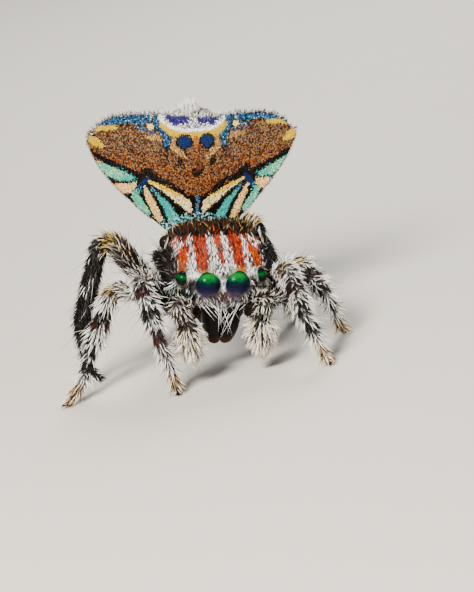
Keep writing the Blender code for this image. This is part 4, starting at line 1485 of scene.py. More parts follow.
    def fringe(self) -> None:
        """Fine hairs round the fan's edge, longest along the top."""
        rng, grid, count = self.studio.rng, self.grid(), self.fringe_hairs
        edge = np.concatenate([grid[6:, 0], grid[-1][1:], grid[6:, -1][::-1][1:]])
        length = np.concatenate([[0], np.cumsum(np.linalg.norm(np.diff(edge, axis=0), axis=1))])
        mark = rng.uniform(0, length[-1], count)
        (x, y), ahead, behind = (
            [np.interp(mark + shift, length, edge[:, k]) for k in (0, 1)] for shift in (0, 0.02, -0.02)
        )
        way = unit(stack(*ahead) - stack(*behind))
        away = stack(-way[:, 1], way[:, 0])
        at = FAN.point(stack(x, y, self.relief(x) - rng.uniform(0.0, self.rim, count)))
        lie = FAN.direction(stack(*away.T, 0.0) + rng.normal(0, 0.45, (count, 3)) * (1, 0.6, 0.8))
        top = smoothstep(0.15, 0.9, away[:, 1])
        crown = bell(x, 0.55) * top
        tint = pick(rng, count, mix(soot=0.5, steel=0.25, white=0.25))
        tint[rng.random(count) < 0.12 + 0.6 * crown] = Pigment.SNOW.rgb
        roots = Roots(at, np.broadcast_to(FAN.z, at.shape), stack(0.02 + 0.96 * mark / length[-1], 0.5))
        coat = Coat("fan_fringe", self.studio.seta, segments=2, swell=0.5)
        reach = 0.03 + (0.09 * top + 0.04 * crown) * rng.random(count)
        coat.add(roots, lie, self.fringe_width, reach, tint, bend=rng.normal(0, 0.15, count), sink=0.0)
        coat.build(self.studio, SEED + 9, "cream_setae")


CHARCOAL = mix(soot=0.8, umber=0.14, grey=0.06)
PALE_FACE = mix(snow=0.6, grey=0.03, soot=0.37)
RED = mix(vermilion=0.44, flame=0.32, rust=0.08, soot=0.16)
FIERY = mix(flame=0.44, vermilion=0.36, yellow=0.06, soot=0.14)
AMBER = mix(yellow=0.45, flame=0.35, lemon=0.2)
DUSKY = mix(umber=0.42, soot=0.34, brown=0.2, rust=0.04)
CLYPEUS = mix(mauve=0.6, lilac=0.14, white=0.12, brown=0.14)
CHEEK = mix(snow=0.26, ice=0.08, grey=0.08, soot=0.58)

# The face's marks by distance from the midline and height up its slope.
FACE_MARKS = (
    Patch(
        ((0, 0.06), (0.6, 0.06), (0.63, 0.2), (0.63, 0.42), (0.65, 0.52), (0.62, 0.66), (0, 0.7)),
        PALE_FACE, 1, 0.02,
    ),
    Streak(
        ((0.27, 0.17, 0.07), (0.27, 0.3, 0.088), (0.26, 0.5, 0.104), (0.25, 0.7, 0.1)),
        RED, 1, 0.012, 0.9,
    ),
    Streak(((0, 0.2, 0.02), (0, 0.34, 0.036), (0, 0.52, 0.056), (0, 0.72, 0.062)), RED, 1, 0.012, 0.9),
    Streak(
        ((0.56, 0.19, 0.05), (0.545, 0.28, 0.078), (0.52, 0.4, 0.092), (0.48, 0.48, 0.06)),
        FIERY, 1, 0.018, 0.9,
    ),
    Streak(((0.46, 0.56, 0.03), (0.45, 0.68, 0.05)), FIERY, 0.85, 0.03, 0.9),
    Streak(((0.6, 0.6, 0.045), (0.62, 0.54, 0.03)), FIERY, 0.9, 0.02, 0.8),
    Streak(((0.2, 0.19, 0.018), (0.33, 0.19, 0.018)), AMBER, 0.8, length=0.8),
    Streak(((0.52, 0.155, 0.02), (0.6, 0.155, 0.02)), AMBER, 0.8, length=0.8),
    Patch(
        ((0, 0.69), (0.6, 0.665), (0.74, 0.58), (0.84, 0.8), (0.7, 1.2), (0, 1.3)),
        DUSKY, 0.99, 0.022, 1.25,
    ),
)
# The bright green bands near the top of each lens are painted reflections.
CORNEAS = {  # each pair of lenses: its finish, and its colours by height
    "ame": (
        "front_cornea",
        (
            (0.0, "0c0812"), (0.16, "473c58"), (0.34, "1e1938"), (0.54, "060a1c"),
            (0.72, "031c1e"), (0.86, "045820"), (0.95, "046a20"),
        ),
    ),
    "ale": (
        "side_cornea",
        ((0.0, "040604"), (0.3, "101a14"), (0.55, "050c08"), (0.78, "064018"), (0.92, "04180a")),
    ),
    "ple": ("rear_cornea", ((0.0, "070605"), (0.5, "15100c"), (1.0, "241a12"))),
}
EYE_FACES = {"ame": (0.0, 1, 0), "ale": (0.45, 1, 0.1), "pme": (1.0, 0.05, 0.45), "ple": (1.0, 0.05, 0.45)}
MOUTH = ((-0.4, 0.28, 0.1), (-0.48, 0.35, 0.12), (-0.62, 0.36, 0.12), (-0.75, 0.27, 0.1), (-0.84, 0.1, 0.04))
JAW = (  # height, distance from the midline, half width, half depth
    (-0.36, 0.15, 0.118, 0.11), (-0.46, 0.152, 0.14, 0.14), (-0.56, 0.152, 0.146, 0.154),
    (-0.72, 0.14, 0.134, 0.138), (-0.84, 0.122, 0.116, 0.112), (-0.92, 0.104, 0.096, 0.086),
    (-0.97, 0.092, 0.072, 0.06), (-1.0, 0.084, 0.024, 0.022),
)


FACE_SLOPE = (-0.493, 0.869)  # the face's way up, ahead and up in the head's axes


def climb(local: Array) -> Array:
    """How far up the face's slope each place in the head's axes is."""
    return FACE_SLOPE[0] * local[:, 1] + FACE_SLOPE[1] * local[:, 2]


@dataclass
class Head:
    """Carapace, sternum, jaws and eyes, with the face's stripes."""

    studio: Studio
    inset: float = 0.028
    sides: int = 72
    hair_step: float = 0.0245
    crown_step: float = 0.0245 * 1.35
    crown_from: float = -0.75
    chin: float = 0.06
    clypeus: float = 0.3
    hair_length: float = 0.088
    hair_width: float = 0.02
    brow_bristles: int = 22  # the long ones that cross in front of the jaws
    moustache_hairs: int = 170
    crest_hairs: int = 100
    front_bulge: float = 1.07  # how much the front lenses stand past their solids
    jaw_tip: str = "3c1d0e"
    # Near-black jaws and mouthparts: dark chitin, deepened with painted shade for the shade under the face.
    jaw_tint: str = "040303"
    mouth_colour_and_painted_shade: str = "0a0605"
    shield: Loft = field(init=False)

    def __post_init__(self) -> None:
        """Shapes the carapace, which the hairs grow on."""
        self.shield = self.carapace()

    def carapace(self) -> Loft:
        """The shield's skin, from a point on the face to the rear.

        Returns:
            The loft.
        """
        stations = np.concatenate([np.linspace(0.07, -0.14, 14), np.linspace(-0.17, -1.78, 48)])
        half, high, low = (read(table, stations) for table in (CARAPACE_WIDTH, CARAPACE_TOP, CARAPACE_BOTTOM))
        middle = high * 0.4 + low * 0.6 + 0.03
        rings, places = [], []
        for share in (0.04, 0.3, 0.55, 0.78, 0.93):
            size = (half[0] * share, (high[0] - middle[0]) * share, (middle[0] - low[0]) * share)
            x, z = superellipse(self.sides, *size, *CARAPACE_SQUARE)
            y = stations[0] + 0.02 * (1 - share * share) - self.inset
            rings.append(HEAD.point(stack(x, y, middle[0] + z)))
            places.append(-stations[0] - 0.02 * (1 - share))
        for y, wide, top, bottom, centre in zip(stations, half, high, low, middle):
            inset = self.inset * float(smoothstep(0.07, 0.0, y)) * 0.9 + 0.003
            size = (wide - inset, top - centre - inset, centre - bottom - inset)
            x, z = superellipse(self.sides, *size, *CARAPACE_SQUARE)
            y_in = min(y, stations[0] - self.inset + 0.25 * (y - stations[0]))
            rings.append(HEAD.point(stack(x, y_in, centre + z)))
            places.append(-y)
        return Loft(np.array(rings), np.array(places))

    @staticmethod
    def sternum() -> Loft:
        """The plate under the leg roots.

        Returns:
            The loft.
        """
        rings = []
        for y, half in STERNUM:
            x, z = superellipse(24, half - 0.01, 0.055, 0.08, 2.4)
            rings.append(HEAD.point(stack(x, y, z - 0.53)))
        return Loft(np.array(rings), np.array([-y for y, _ in STERNUM]))

    def face_tint(self, local: Array) -> tuple[Array, Array]:
        """Colour and share of length of each hair of the head.

        Args:
            local: Places in the head's axes.

        Returns:
            Linear RGB rows, and one length share each.
        """
        rng, count = self.studio.rng, len(local)
        (x, y, z), height = local.T, climb(local)
        wide = np.abs(x)
        cells = np.round(stack(x / 0.055, height / 0.09)).astype(int)
        tint, reach = pick(rng, count, CHARCOAL), np.ones(count)
        for mark in FACE_MARKS:
            mask = mark.covers(wide, height, rng) & (y > -1.25) & (z > -0.06)
            mask &= x > -0.615 - 0.5 * np.maximum(height - 0.42, 0)
            tint[mask] = pick_clumps(rng, cells[mask], mark.blend, 0.12)
            reach[mask] = mark.length
        low, inner = (height < self.chin) & (y > -0.45), wide < self.clypeus
        mask = low & (height > -0.1) & inner
        tint[mask] = pick(rng, int(mask.sum()), PALE_FACE)
        mask = low & inner & (height < -0.1) & (rng.random(count) < 0.95)
        tint[mask] = pick(rng, int(mask.sum()), CLYPEUS)
        mask = low & ~inner & (rng.random(count) < 0.75)
        tint[mask] = pick_clumps(rng, cells[mask], CHEEK, 0.5)
        return tint * rng.uniform(0.85, 1.1, count)[:, None], reach

    def coats(self) -> list[Coat]:
        """The head's hairs, in front and behind."""
        face = self.hairs("face_hairs", self.hair_step, self.crown_from, 9.0)
        return [face, self.hairs("crown_hairs", self.crown_step, -9.0, self.crown_from)]

    def hairs(self, name: str, step: float, low: float, high: float) -> Coat:
        """The hairs of one stretch of the head, clear of the eyes and combed round them.

        Args:
            name: The piece's name.
            step: Distance between roots.
            low: Rear end of the stretch, in the head's axes.
            high: Front end of the stretch.

        Returns:
            The coat, built and settled.
        """
        rng = self.studio.rng
        roots = self.shield.roots(step, rng)
        local = HEAD.local(roots.at)
        clear = (local[:, 1] >= low) & (local[:, 1] < high)
        clear &= ~((np.abs(local[:, 0]) < 0.5) & (local[:, 1] < -1.72))
        roots, local = roots.only(clear), local[clear]
        mirror = np.where(local[:, :1] < 0, (-1, 1, 1), (1, 1, 1))
        swerve, brief, clear = np.zeros_like(local), np.ones(roots.count), np.ones(roots.count, bool)
        for at, radius in EYES.values():
            offset = local * mirror - np.array(at)
            gap = np.linalg.norm(offset, axis=1) - radius
            clear &= gap > 0.05 * radius + 0.008
            swerve += bell(np.maximum(gap, 0), 0.05)[:, None] * unit(offset)
            brief = np.minimum(brief, 0.5 + 0.5 * smoothstep(0.0, 0.12, gap))
        roots, local, swerve, brief = roots.only(clear), local[clear], (swerve * mirror)[clear], brief[clear]
        tint, share = self.face_tint(local)
        (x, y, _), height = local.T, climb(local)
        chin = height < self.chin
        up, side = stack(x * 0.25, -0.55, 1), stack(x * 0.2, -0.6, -0.35)
        back = stack(x * 0.3, -1, 0.1 - 0.5 * smoothstep(-1.1, -1.5, y))
        down = stack(x * 0.6, 0.2, -1)
        flank = smoothstep(0.62, 0.74, np.abs(x))[:, None]
        toward = np.where(chin[:, None], down, np.where((height < 0.7)[:, None], up, back))
        toward = HEAD.direction(toward * (1 - flank) + side * flank + swerve * 1.5)
        crest = smoothstep(0.66, 0.74, height) * (1 - smoothstep(1.0, 1.25, height)) * (y > -1.2)
        splay = 15 + 20 * crest * rng.uniform(0.3, 1.4, roots.count) + 6 * chin
        length = (self.hair_length + 0.03 * crest + 0.02 * chin * (y > -0.5)) * share * brief
        length = length * (1 + 0.35 * (y < self.crown_from))
        flank = smoothstep(0.6, 0.72, np.abs(x)) * (height < 0.5)
        coat = Coat(name, self.studio.seta)
        lie = lay(roots, toward, splay + 26 * flank, 13.0 + 14.0 * crest, rng)
        length = length * (1 + 0.75 * flank)
        coat.add(roots, lie, self.hair_width, length, tint, bend=-0.12, sink=0.008)
        return coat.build(self.studio, SEED + 21, "dark_cuticle")

    def bristles(self) -> None:
        """Pale hairs round the side eyes, long bristles over the jaws, a moustache and the crest's arch."""
        coat = Coat("head_bristles", self.studio.seta, sides=4, segments=5, swell=0.6, tip=0.05)
        rng = np.random.default_rng(SEED + 4)
        for name, hairs in (("ple", 26), ("ale", 9), ("pme", 8)):
            for side in SIDES.values():
                self.rim(coat, name, hairs, side, rng)
        stiff = {"flat": 0.8, "sink": 0.0}
        # Long pale bristles of the clypeus, crossing in front of the jaws.
        count = self.brow_bristles
        x = np.linspace(-0.46, 0.46, count) + rng.uniform(-0.03, 0.03, count)
        start = stack(x, 0.02 - 0.25 * x * x, -0.25 + rng.uniform(-0.05, 0.03, count) + 0.1 * x * x)
        cross = rng.normal(-0.25 * x, 0.11)
        goal = stack(cross, rng.uniform(0.16, 0.28, count), rng.uniform(-0.8, -0.52, count))
        out = HEAD.direction(stack(rng.normal(0, 0.5, count), 1, rng.uniform(0, 1, count)))
        roots = Roots(HEAD.point(start), out, stack(0.1 + 0.8 * (x + 0.5), 0.05))
        tint = pick(rng, count, mix(snow=0.8, grey=0.2))
        bend = rng.uniform(-0.14, 0.08, count)
        length = rng.uniform(0.34, 0.58, count)
        coat.add(roots, HEAD.direction(goal - start), 0.01, length, tint, bend, **stiff)
        # A moustache of short curved hairs over the bare clypeus.
        count = self.moustache_hairs
        x = rng.uniform(-0.5, 0.5, count)
        drop = rng.uniform(-0.3, -0.14, count) - 0.1 * bell(x, 0.16)
        lie = HEAD.direction(stack(-np.sign(x) * rng.uniform(0.2, 1.2, count), 0.25, -0.8))
        start, out = HEAD.point(stack(x, 0.065 - 0.42 * x * x, drop)), HEAD.direction(stack(0.3 * x, 1, 0.4))
        roots = Roots(start, out, stack(0.1 + 0.8 * (x + 0.5), 0.3 + drop * 0.5))
        tint = pick(rng, count, mix(snow=0.42, grey=0.33, lilac=0.25))
        coat.add(roots, lie, 0.0085, rng.uniform(0.08, 0.18, count), tint, -0.35, **stiff)
        # Pale gold hairs that arch over the crest.
        count = self.crest_hairs
        x, y = rng.uniform(-0.66, 0.66, count), rng.uniform(-1.12, -0.74, count)
        z = read(CARAPACE_TOP, y) * (1 - 0.35 * (np.abs(x) / 0.75) ** 3)
        lie = stack(x * 0.5 + rng.normal(0, 0.35, count), -0.8, 0.55 + rng.normal(0, 0.12, count))
        out, atlas = np.broadcast_to(HEAD.z, lie.shape), stack(0.5 + 0.6 * x, -0.6 * y)
        roots, lie = Roots(HEAD.point(stack(x, y, z)), out, atlas), HEAD.direction(lie)
        tint = pick(rng, count, mix(gold=0.18, tan=0.26, cream=0.08, brown=0.48))
        coat.add(roots, lie, 0.0095, rng.uniform(0.09, 0.17, count), tint, -0.35, **stiff)
        coat.build(self.studio, SEED + 22, "cream_setae")

    @staticmethod
    def rim(coat: Coat, name: str, hairs: int, side: int, rng: Rng) -> None:
        """Curved hairs set round one eye.

        Args:
            coat: What they are added to.
            name: The eye.
            hairs: How many.
            side: 1 for the left, -1 for the right.
            rng: The random source.
        """
        at, radius = EYES[name]
        ahead = name == "ale"
        angle = 2 * np.pi * (np.arange(hairs) + rng.uniform(-0.3, 0.3, hairs)) / hairs
        face = unit(np.array((at[0], 0.35 if ahead else 0.0, 0.25)) * (side, 1, 1))
        level = unit(np.cross(face, (0, 0, 1) if ahead else (0, 1, 0)))
        ring = level * np.cos(angle)[:, None] + np.cross(level, face) * np.sin(angle)[:, None]
        place = HEAD.point(np.array(at) * (side, 1, 1) + ring * radius * 1.16 + face * radius * 0.12)
        lie = HEAD.direction(np.cross(face, ring) + ring * 0.35 + face * 0.35)
        out = HEAD.direction(-ring + face * 0.3)
        roots = Roots(place, out, stack(0.1 + 0.8 * angle / 7, 0.5 + 0.2 * side))
        tint = pick(rng, hairs, mix(white=0.5, cream=0.3, grey=0.2))
        coat.add(roots, lie, 0.011, radius * 1.05, tint, bend=0.3, sink=0.0)

    def eyes(self) -> None:
        """The eight lenses."""
        finishes = {name: CorneaFinish(*look).material() for name, look in CORNEAS.items()}
        finishes["pme"] = finishes["ple"]
        for name, (at, radius) in EYES.items():
            segments, rings = (64, 40) if radius > 0.1 else (32, 20)
            radius *= self.front_bulge if name == "ame" else 1.0
            around = 2 * np.pi * np.arange(segments) / segments
            turn, rise = np.meshgrid(around, np.pi * np.arange(1, rings) / rings)
            ball = stack(np.sin(rise) * np.cos(turn), np.cos(rise), np.sin(rise) * np.sin(turn))
            for side, sign in SIDES.items():
                face = unit(np.array(EYE_FACES[name]) * (sign, 1, 1))
                right = unit(np.cross(face, (0, 0, 1)))
                local = ball @ np.stack([right, face, np.cross(right, face)])
                centre = np.array(at) * (sign, 1, 1)
                points, faces = Loft(HEAD.point(local * radius + centre), np.arange(rings - 1)).shell()
                points[-2:] = HEAD.point(np.stack([face, -face]) * radius + centre)
                faces = [corners[::-1] for corners in faces]
                lens = np.concatenate([ball.reshape(-1, 3), [(0, 1, 0), (0, -1, 0)]]) * (sign, 1, 1)
                world = self.studio.world(points)
                made = self.studio.mesh(f"cornea_{name}_{side}", world, faces, finishes[name])
                set_attribute(made.data, "lens", lens, "FLOAT_VECTOR")
                settle(made, "eye_lens", f"eye_{name}_{side}")

    def jaws(self) -> None:
        """Both chelicerae, brown at the tip; their near-black is their own dark chitin deepened with painted
        shade.
        """
        finish = JawFinish("chelicera_chitin").material()
        heights = np.linspace(-0.36, -1.0, 40)
        places, *columns = zip(*JAW)
        shape = [read(tuple(zip(places, column)), heights) for column in columns]
        for side, sign in SIDES.items():
            rings = []
            for z, middle, half, deep in zip(heights, *shape):
                x, y = superellipse(32, half, deep, deep, 2.2)
                rings.append(HEAD.point(stack((middle - 0.011) * sign + x, y - 0.04, z)))
            loft = Loft(np.array(rings), -heights)
            brown = smoothstep(0.8, 0.99, -HEAD.local(loft.shell()[0])[:, 2:])
            tint = linear(self.jaw_tint) * (1 - brown) + linear(self.jaw_tip) * brown
            made = self.studio.solid(f"jaw_{side}", [loft], finish, tint)
            settle(made, "jaw_cuticle", f"chelicera_{side}")

    def mouth(self) -> None:
        """The mouthparts close behind the chelicerae, near-black: dark chitin deepened with painted shade."""
        rings = []
        for z, half, deep in MOUTH:
            x, y = superellipse(32, half, deep, deep, 2.4)
            rings.append(HEAD.point(stack(x, y - 0.22, z)))
        loft = Loft(np.array(rings), np.arange(len(MOUTH)))
        finish = JawFinish("maxilla_chitin").material()
        settle(self.studio.solid("maxillae", [loft], finish, linear(self.mouth_colour_and_painted_shade)), "jaw_cuticle")


@dataclass(frozen=True)
class Band:
    """A stretch of a limb's segment with its own mix of bristles."""

    segment: int
    start: float
    end: float
    coating: Coating
    length: float
    flare: float


def bands(*segments: tuple[tuple, ...]) -> tuple[Band, ...]:
    """Bands of a leg, from rows of end, mix, length and flare.

    Args:
        *segments: Rows for femur, tibia, metatarsus and tarsus, each band starting where the last one ends.

    Returns:
        The bands in order.
    """
    made = []
    for segment, rows in enumerate(segments, 1):
        start = 0.0
        for end, coating, length, flare in rows:
            made.append(Band(segment, start, end, coating, length, flare))
            start = end
    return tuple(made)


STREAKED, DARK, PALE, GOLDEN, RUSTY, TARSAL, BROWNISH = Coating
ALL_DARK = ((1.0, DARK, 0.8, 1.0),)
PLAIN_BANDS = bands(
    ((0.55, STREAKED, 1.0, 1.0), (0.72, DARK, 1.0, 1.0), (1.0, PALE, 1.0, 1.2)),
    (
        (0.16, GOLDEN, 0.9, 1.0), (0.42, PALE, 1.0, 1.3), (0.6, DARK, 0.7, 1.0),
        (0.68, RUSTY, 0.9, 1.0), (0.94, PALE, 1.1, 1.25), (1.0, DARK, 0.7, 1.0),
    ),
    ((0.2, DARK, 0.7, 1.0), (0.5, PALE, 1.0, 1.3), (0.78, DARK, 0.7, 1.0), (1.0, PALE, 1.0, 1.3)),
    ((0.22, PALE, 1.0, 1.2), (1.0, TARSAL, 1.0, 0.75)),
)
LEG_BANDS = {
    ("1", "right"): bands(
        ((0.8, STREAKED, 1.0, 1.0), (1.0, GOLDEN, 1.0, 1.0)),
        (
            (0.24, PALE, 1.05, 1.3), (0.42, RUSTY, 0.8, 1.0), (0.66, PALE, 1.05, 1.3),
            (0.82, DARK, 0.7, 1.0), (1.0, PALE, 1.0, 1.2),
        ),
        ((0.5, RUSTY, 0.7, 1.0), (1.0, PALE, 1.05, 1.35)),
        ((0.14, DARK, 0.7, 1.0), (0.34, PALE, 1.0, 1.2), (0.84, TARSAL, 1.0, 0.75), (1.0, PALE, 0.8, 0.75)),
    ),
    ("3", "right"): bands(
        ((0.55, STREAKED, 1.0, 1.0), (0.92, BROWNISH, 1.1, 1.0), (1.0, GOLDEN, 1.1, 1.0)),
        ((0.08, GOLDEN, 1.1, 1.0), *ALL_DARK),
        ALL_DARK, ALL_DARK,
    ),
    ("3", "left"): bands(
        ((0.85, DARK, 1.0, 1.0), (1.0, GOLDEN, 1.1, 1.0)),
        ((0.1, GOLDEN, 1.1, 1.0), *ALL_DARK),
        ((0.2, PALE, 1.0, 1.0), *ALL_DARK),
        ((1.0, TARSAL, 1.0, 1.0),),
    ),
}


@dataclass
class Limbs:
    """Legs and palps: tubes of skin with rings of flattened bristles."""

    studio: Studio
    seen: float = 0.075  # how far past its root a bristle shows its colour, in mm
    leg_inset: float = 0.012
    palp_inset: float = 0.01
    under_step: float = 0.032
    under_length: float = 0.11
    fringe_step: float = 0.045
    feeler_step: float = 0.17
    brush_steps: tuple[float, float] = (0.0225, 0.021)  # shaft and hand of the palps
    clump: float = 0.6  # share of bristles that match their neighbours
    bristle_size: tuple[float, float] = (0.024, 0.186)
    rows: Table = ((0.031, 0.078, 1.0), (0.075, 0.0, 0.85))  # step, row and size of each over-coat
    growth: tuple[float, ...] = (0.85, 0.95, 1.0, 1.04, 1.1, 1.04)  # size at each joint
    splay: tuple[float, ...] = (20, 23, 29, 34, 44, 46)  # degrees at each joint
    brush_width: float = 0.0185
    end_hairs: int = 260
    legs: dict[tuple[str, str], tuple[Route, Loft]] = field(init=False)
    palps: dict[str, tuple[Route, Loft]] = field(init=False)

    def __post_init__(self) -> None:
        """Routes every limb."""
        self.legs = {key: self.leg(*key) for key in LEG_JOINTS}
        self.palps = {side: self.palp(side) for side in SIDES}

    def leg(self, number: str, side: str) -> tuple[Route, Loft]:
        """One leg's route and skin.

        Args:
            number: Which pair, from the front.
            side: Left or right.

        Returns:
            The route and the loft.
        """
        joints = [HEAD.point(np.array(p) * (SIDES[side], 1, 1)) for p in LEG_ROOTS[number]]
        *bends, foot = LEG_JOINTS[(number, side)]
        joints += [np.array(p) for p in (*bends, (*foot, 0.0))]
        coxa, femur, tibia, metatarsus, tarsus = LEG_RADII[number]
        route = Route(joints, (coxa, femur, metatarsus, tarsus))
        turn, knee, ankle, heel = route.bends[1:5]
        end = route.length
        table = (
            (0, coxa * 0.75), (0.04, coxa), (turn * 0.6, coxa), (turn - 0.06, coxa * 0.86),
            (turn + 0.03, femur * 0.84), (turn + 0.12, femur * 0.98), ((turn + knee) / 2, femur),
            (knee - 0.16, femur * 0.9), (knee, femur * 0.84), (knee + 0.16, tibia * 0.98),
            (knee + 0.3, tibia * 0.9), (knee + (ankle - knee) * 0.55, tibia), (ankle - 0.14, tibia * 0.86),
            (ankle - 0.03, metatarsus * 1.05), (ankle + 0.06, metatarsus * 0.95),
            ((ankle + heel) / 2, metatarsus), (heel - 0.04, metatarsus * 0.85), (heel + 0.05, tarsus),
            ((heel + end) / 2, tarsus * 1.05), (end - 0.06, tarsus * 0.85), (end, FOOT_RADIUS),
        )
        loft = route.loft([(place, radius - self.leg_inset) for place, radius in table])
        loft.rings[-1][:, 2] = 0.0
        return route, loft

    def palp(self, side: str) -> tuple[Route, Loft]:
        """One palp's route and skin.

        Args:
            side: Left or right.

        Returns:
            The route and the loft.
        """
        base, femur, tibia, hand = PALP_RADII
        route = Route([np.array(p) for p in PALP_JOINTS[side]], (femur, tibia))
        knee, wrist, end = route.bends[1:4]
        table = (
            (0, base * 0.7), (0.06, base), (knee * 0.5, femur), (knee, femur * 0.95),
            ((knee + wrist) / 2, tibia), (wrist, hand * 0.85), (wrist + 0.08, hand * 1.05),
            (wrist + 0.22, hand * 1.1), (end - 0.06, hand * 0.8), (end, hand * 0.45),
        )
        return route, route.loft([(place, radius - self.palp_inset) for place, radius in table])

    def leg_coat(self, number: str, side: str) -> Coat:
        """The bristles of one leg.

        Args:
            number: Which pair, from the front.
            side: Left or right.

        Returns:
            The coat, built and settled.
        """
        rng, (route, loft) = self.studio.rng, self.legs[(number, side)]
        coat = Coat(f"leg_{number}_{side}_bristles", self.studio.seta)
        _, turn, knee, _, heel, end = joints = np.array(route.bends)
        # Under-coat: short dark bristles that close the surface.
        roots = loft.roots(self.under_step, rng)
        floor = smoothstep(0.0, 0.1, roots.at[:, 2])
        tint = pick(rng, roots.count, mix(soot=0.84, umber=0.14, grey=0.02))
        thin = np.interp(roots.place, joints, (1, 1, 1, 0.85, 0.65, 0.5))
        lie = lay(roots, roots.along, 20.0, 16.0, rng)
        coat.add(roots, lie, 0.016, self.under_length * thin * (0.4 + 0.6 * floor), tint, bend=-0.1)
        # Over-coat: flattened bristles in bands, in rows that overlap like shingles.
        for step, row, thin in self.rows:
            roots = loft.roots(step, rng, start=turn * 0.5, end=end - 0.02, row=row)
            tint, stretch, flare = self.banded(roots, joints, LEG_BANDS.get((number, side), PLAIN_BANDS))
            floor = smoothstep(0.0, 0.16, roots.at[:, 2])
            size = np.interp(roots.place, joints, self.growth) * stretch
            size *= thin * (0.5 + 0.5 * floor)
            lie = lay(roots, roots.along, np.interp(roots.place, joints, self.splay) * flare, 11.0, rng)
            tint = tint * rng.uniform(0.85, 1.08, roots.count)[:, None]
            bend = rng.uniform(-0.22, -0.04, roots.count)
            width, length = self.bristle_size
            coat.add(roots, lie, width * np.sqrt(size), length * size, tint, bend=bend)
        # Curved fringe below the thigh.
        roots = loft.roots(self.fringe_step, rng, start=turn, end=knee - 0.06)
        roots = roots.only(roots.out[:, 2] < -0.25)
        tint = pick(rng, roots.count, mix(soot=0.45, grey=0.25, white=0.3))
        lie = lay(roots, roots.along, 40.0, 16.0, rng)
        coat.add(roots, lie, 0.0125, rng.uniform(0.16, 0.27, roots.count), tint, bend=-0.3)
        # A few long fine sensory hairs that stand out.
        roots = loft.roots(self.feeler_step, rng, start=turn, end=heel + 0.3 * (end - heel))
        tint = pick(rng, roots.count, mix(soot=0.45, grey=0.3, white=0.25))
        lie = lay(roots, roots.along, 48.0, 20.0, rng)
        length = rng.uniform(0.24, 0.42, roots.count) * smoothstep(-0.1, 0.5, roots.at[:, 2])
        coat.add(roots, lie, 0.0095, length, tint, bend=rng.uniform(-0.25, 0.1, roots.count))
        return coat.build(self.studio, SEED + 30 + int(number) * 2 + SIDES[side], "banded_cuticle")

    def banded(self, roots: Roots, joints: Array, marks: tuple[Band, ...]) -> tuple[Array, Array, Array]:
        """Colours, lengths and flare of a leg's bristles by its bands.

        Args:
            roots: Where they grow.
            joints: Places of the leg's joints.
            marks: The leg's bands.

        Returns:
            Linear RGB rows, length shares and splay shares.
        """
        rng, count = self.studio.rng, roots.count
        seen = np.minimum(roots.place + self.seen, joints[-1])
        segment = np.clip(np.searchsorted(joints, seen) - 1, 0, 4)
        share = (seen - joints[segment]) / (joints[segment + 1] - joints[segment])
        share = share + rng.normal(0, 0.012, count)
        level = np.floor(roots.place / 0.082)
        cells = stack(level, np.floor(roots.turn * 8 + level * 0.37))
        tint = pick_clumps(rng, cells, STREAKED.value, self.clump)
        stretch, flare = np.ones(count), np.ones(count)
        for band in marks:
            mask = (segment == band.segment) & (share >= band.start) & (share < band.end + (band.end == 1.0))
            tint[mask] = pick_clumps(rng, cells[mask], band.coating.value, self.clump)
            stretch[mask], flare[mask] = band.length, band.flare
        return tint, stretch, flare

    def palp_coat(self, side: str) -> Coat:
        """The pale brush of one palp.

        Args:
            side: Left or right.

        Returns:
            The coat, built and settled.
        """
        rng, (route, loft), width = self.studio.rng, self.palps[side], self.brush_width
        knee, wrist, end = route.bends[1:4]
        coat = Coat(f"palp_{side}_brush", self.studio.seta, segments=4, tip=0.12, swell=1.6, variation=0.12)
        roots = loft.roots(self.under_step, rng)
        tint = pick(rng, roots.count, mix(soot=0.6, umber=0.3, brown=0.1))
        coat.add(roots, lay(roots, roots.along, 34.0, 15.0, rng), 0.02, 0.13, tint, bend=-0.1)
        pale = mix(white=0.4, snow=0.18, cream=0.32, brown=0.1)
        shaft, hand = self.brush_steps
        roots = loft.roots(shaft, rng, start=knee * 0.4, end=wrist - 0.04, row=0.08)
        tint = pick(rng, roots.count, mix(white=0.66, cream=0.2, soot=0.14))
        upper = smoothstep(knee, wrist, roots.place)
        lie = lay(roots, roots.along, 36 - 8 * upper, 12.0, rng)
        coat.add(roots, lie, width, 0.185 - 0.05 * upper, tint, bend=-0.3)
        roots = loft.roots(hand, rng, start=wrist + 0.03, row=0.04)
        tint = pick(rng, roots.count, pale) * rng.uniform(0.8, 1.06, roots.count)[:, None]
        marks = (wrist, wrist + 0.2, end)
        splay, length = (np.interp(roots.place, marks, row) for row in ((56, 70, 70), (0.29, 0.36, 0.37)))
        coat.add(roots, lay(roots, roots.along, splay, 6.0, rng), width, length, tint, bend=-0.5)
        # Hairs of the rounded end, which fan out round its axis.
        count, foot = self.end_hairs, route.points[-1]
        axis = unit(foot - route.at(route.length - 0.1))
        level = unit(np.cross(axis, (0.0, 1.0, 0.0)))
        angle, reach = rng.uniform(0, 2 * np.pi, count), np.sqrt(rng.random(count))[:, None]
        ring = level * np.cos(angle)[:, None] + np.cross(axis, level) * np.sin(angle)[:, None]
        atlas = 0.5 + 0.05 * reach * stack(np.cos(angle), np.sin(angle))
        roots = Roots(foot - axis * 0.03 + ring * reach * 0.045, unit(ring), atlas)
        lie = unit(axis + ring * reach * 1.45)
        coat.add(roots, lie, width, 0.32, pick(rng, count, pale), bend=-0.52, sink=0.0)
        return coat.build(self.studio, SEED + 50 + SIDES[side], "cream_setae")


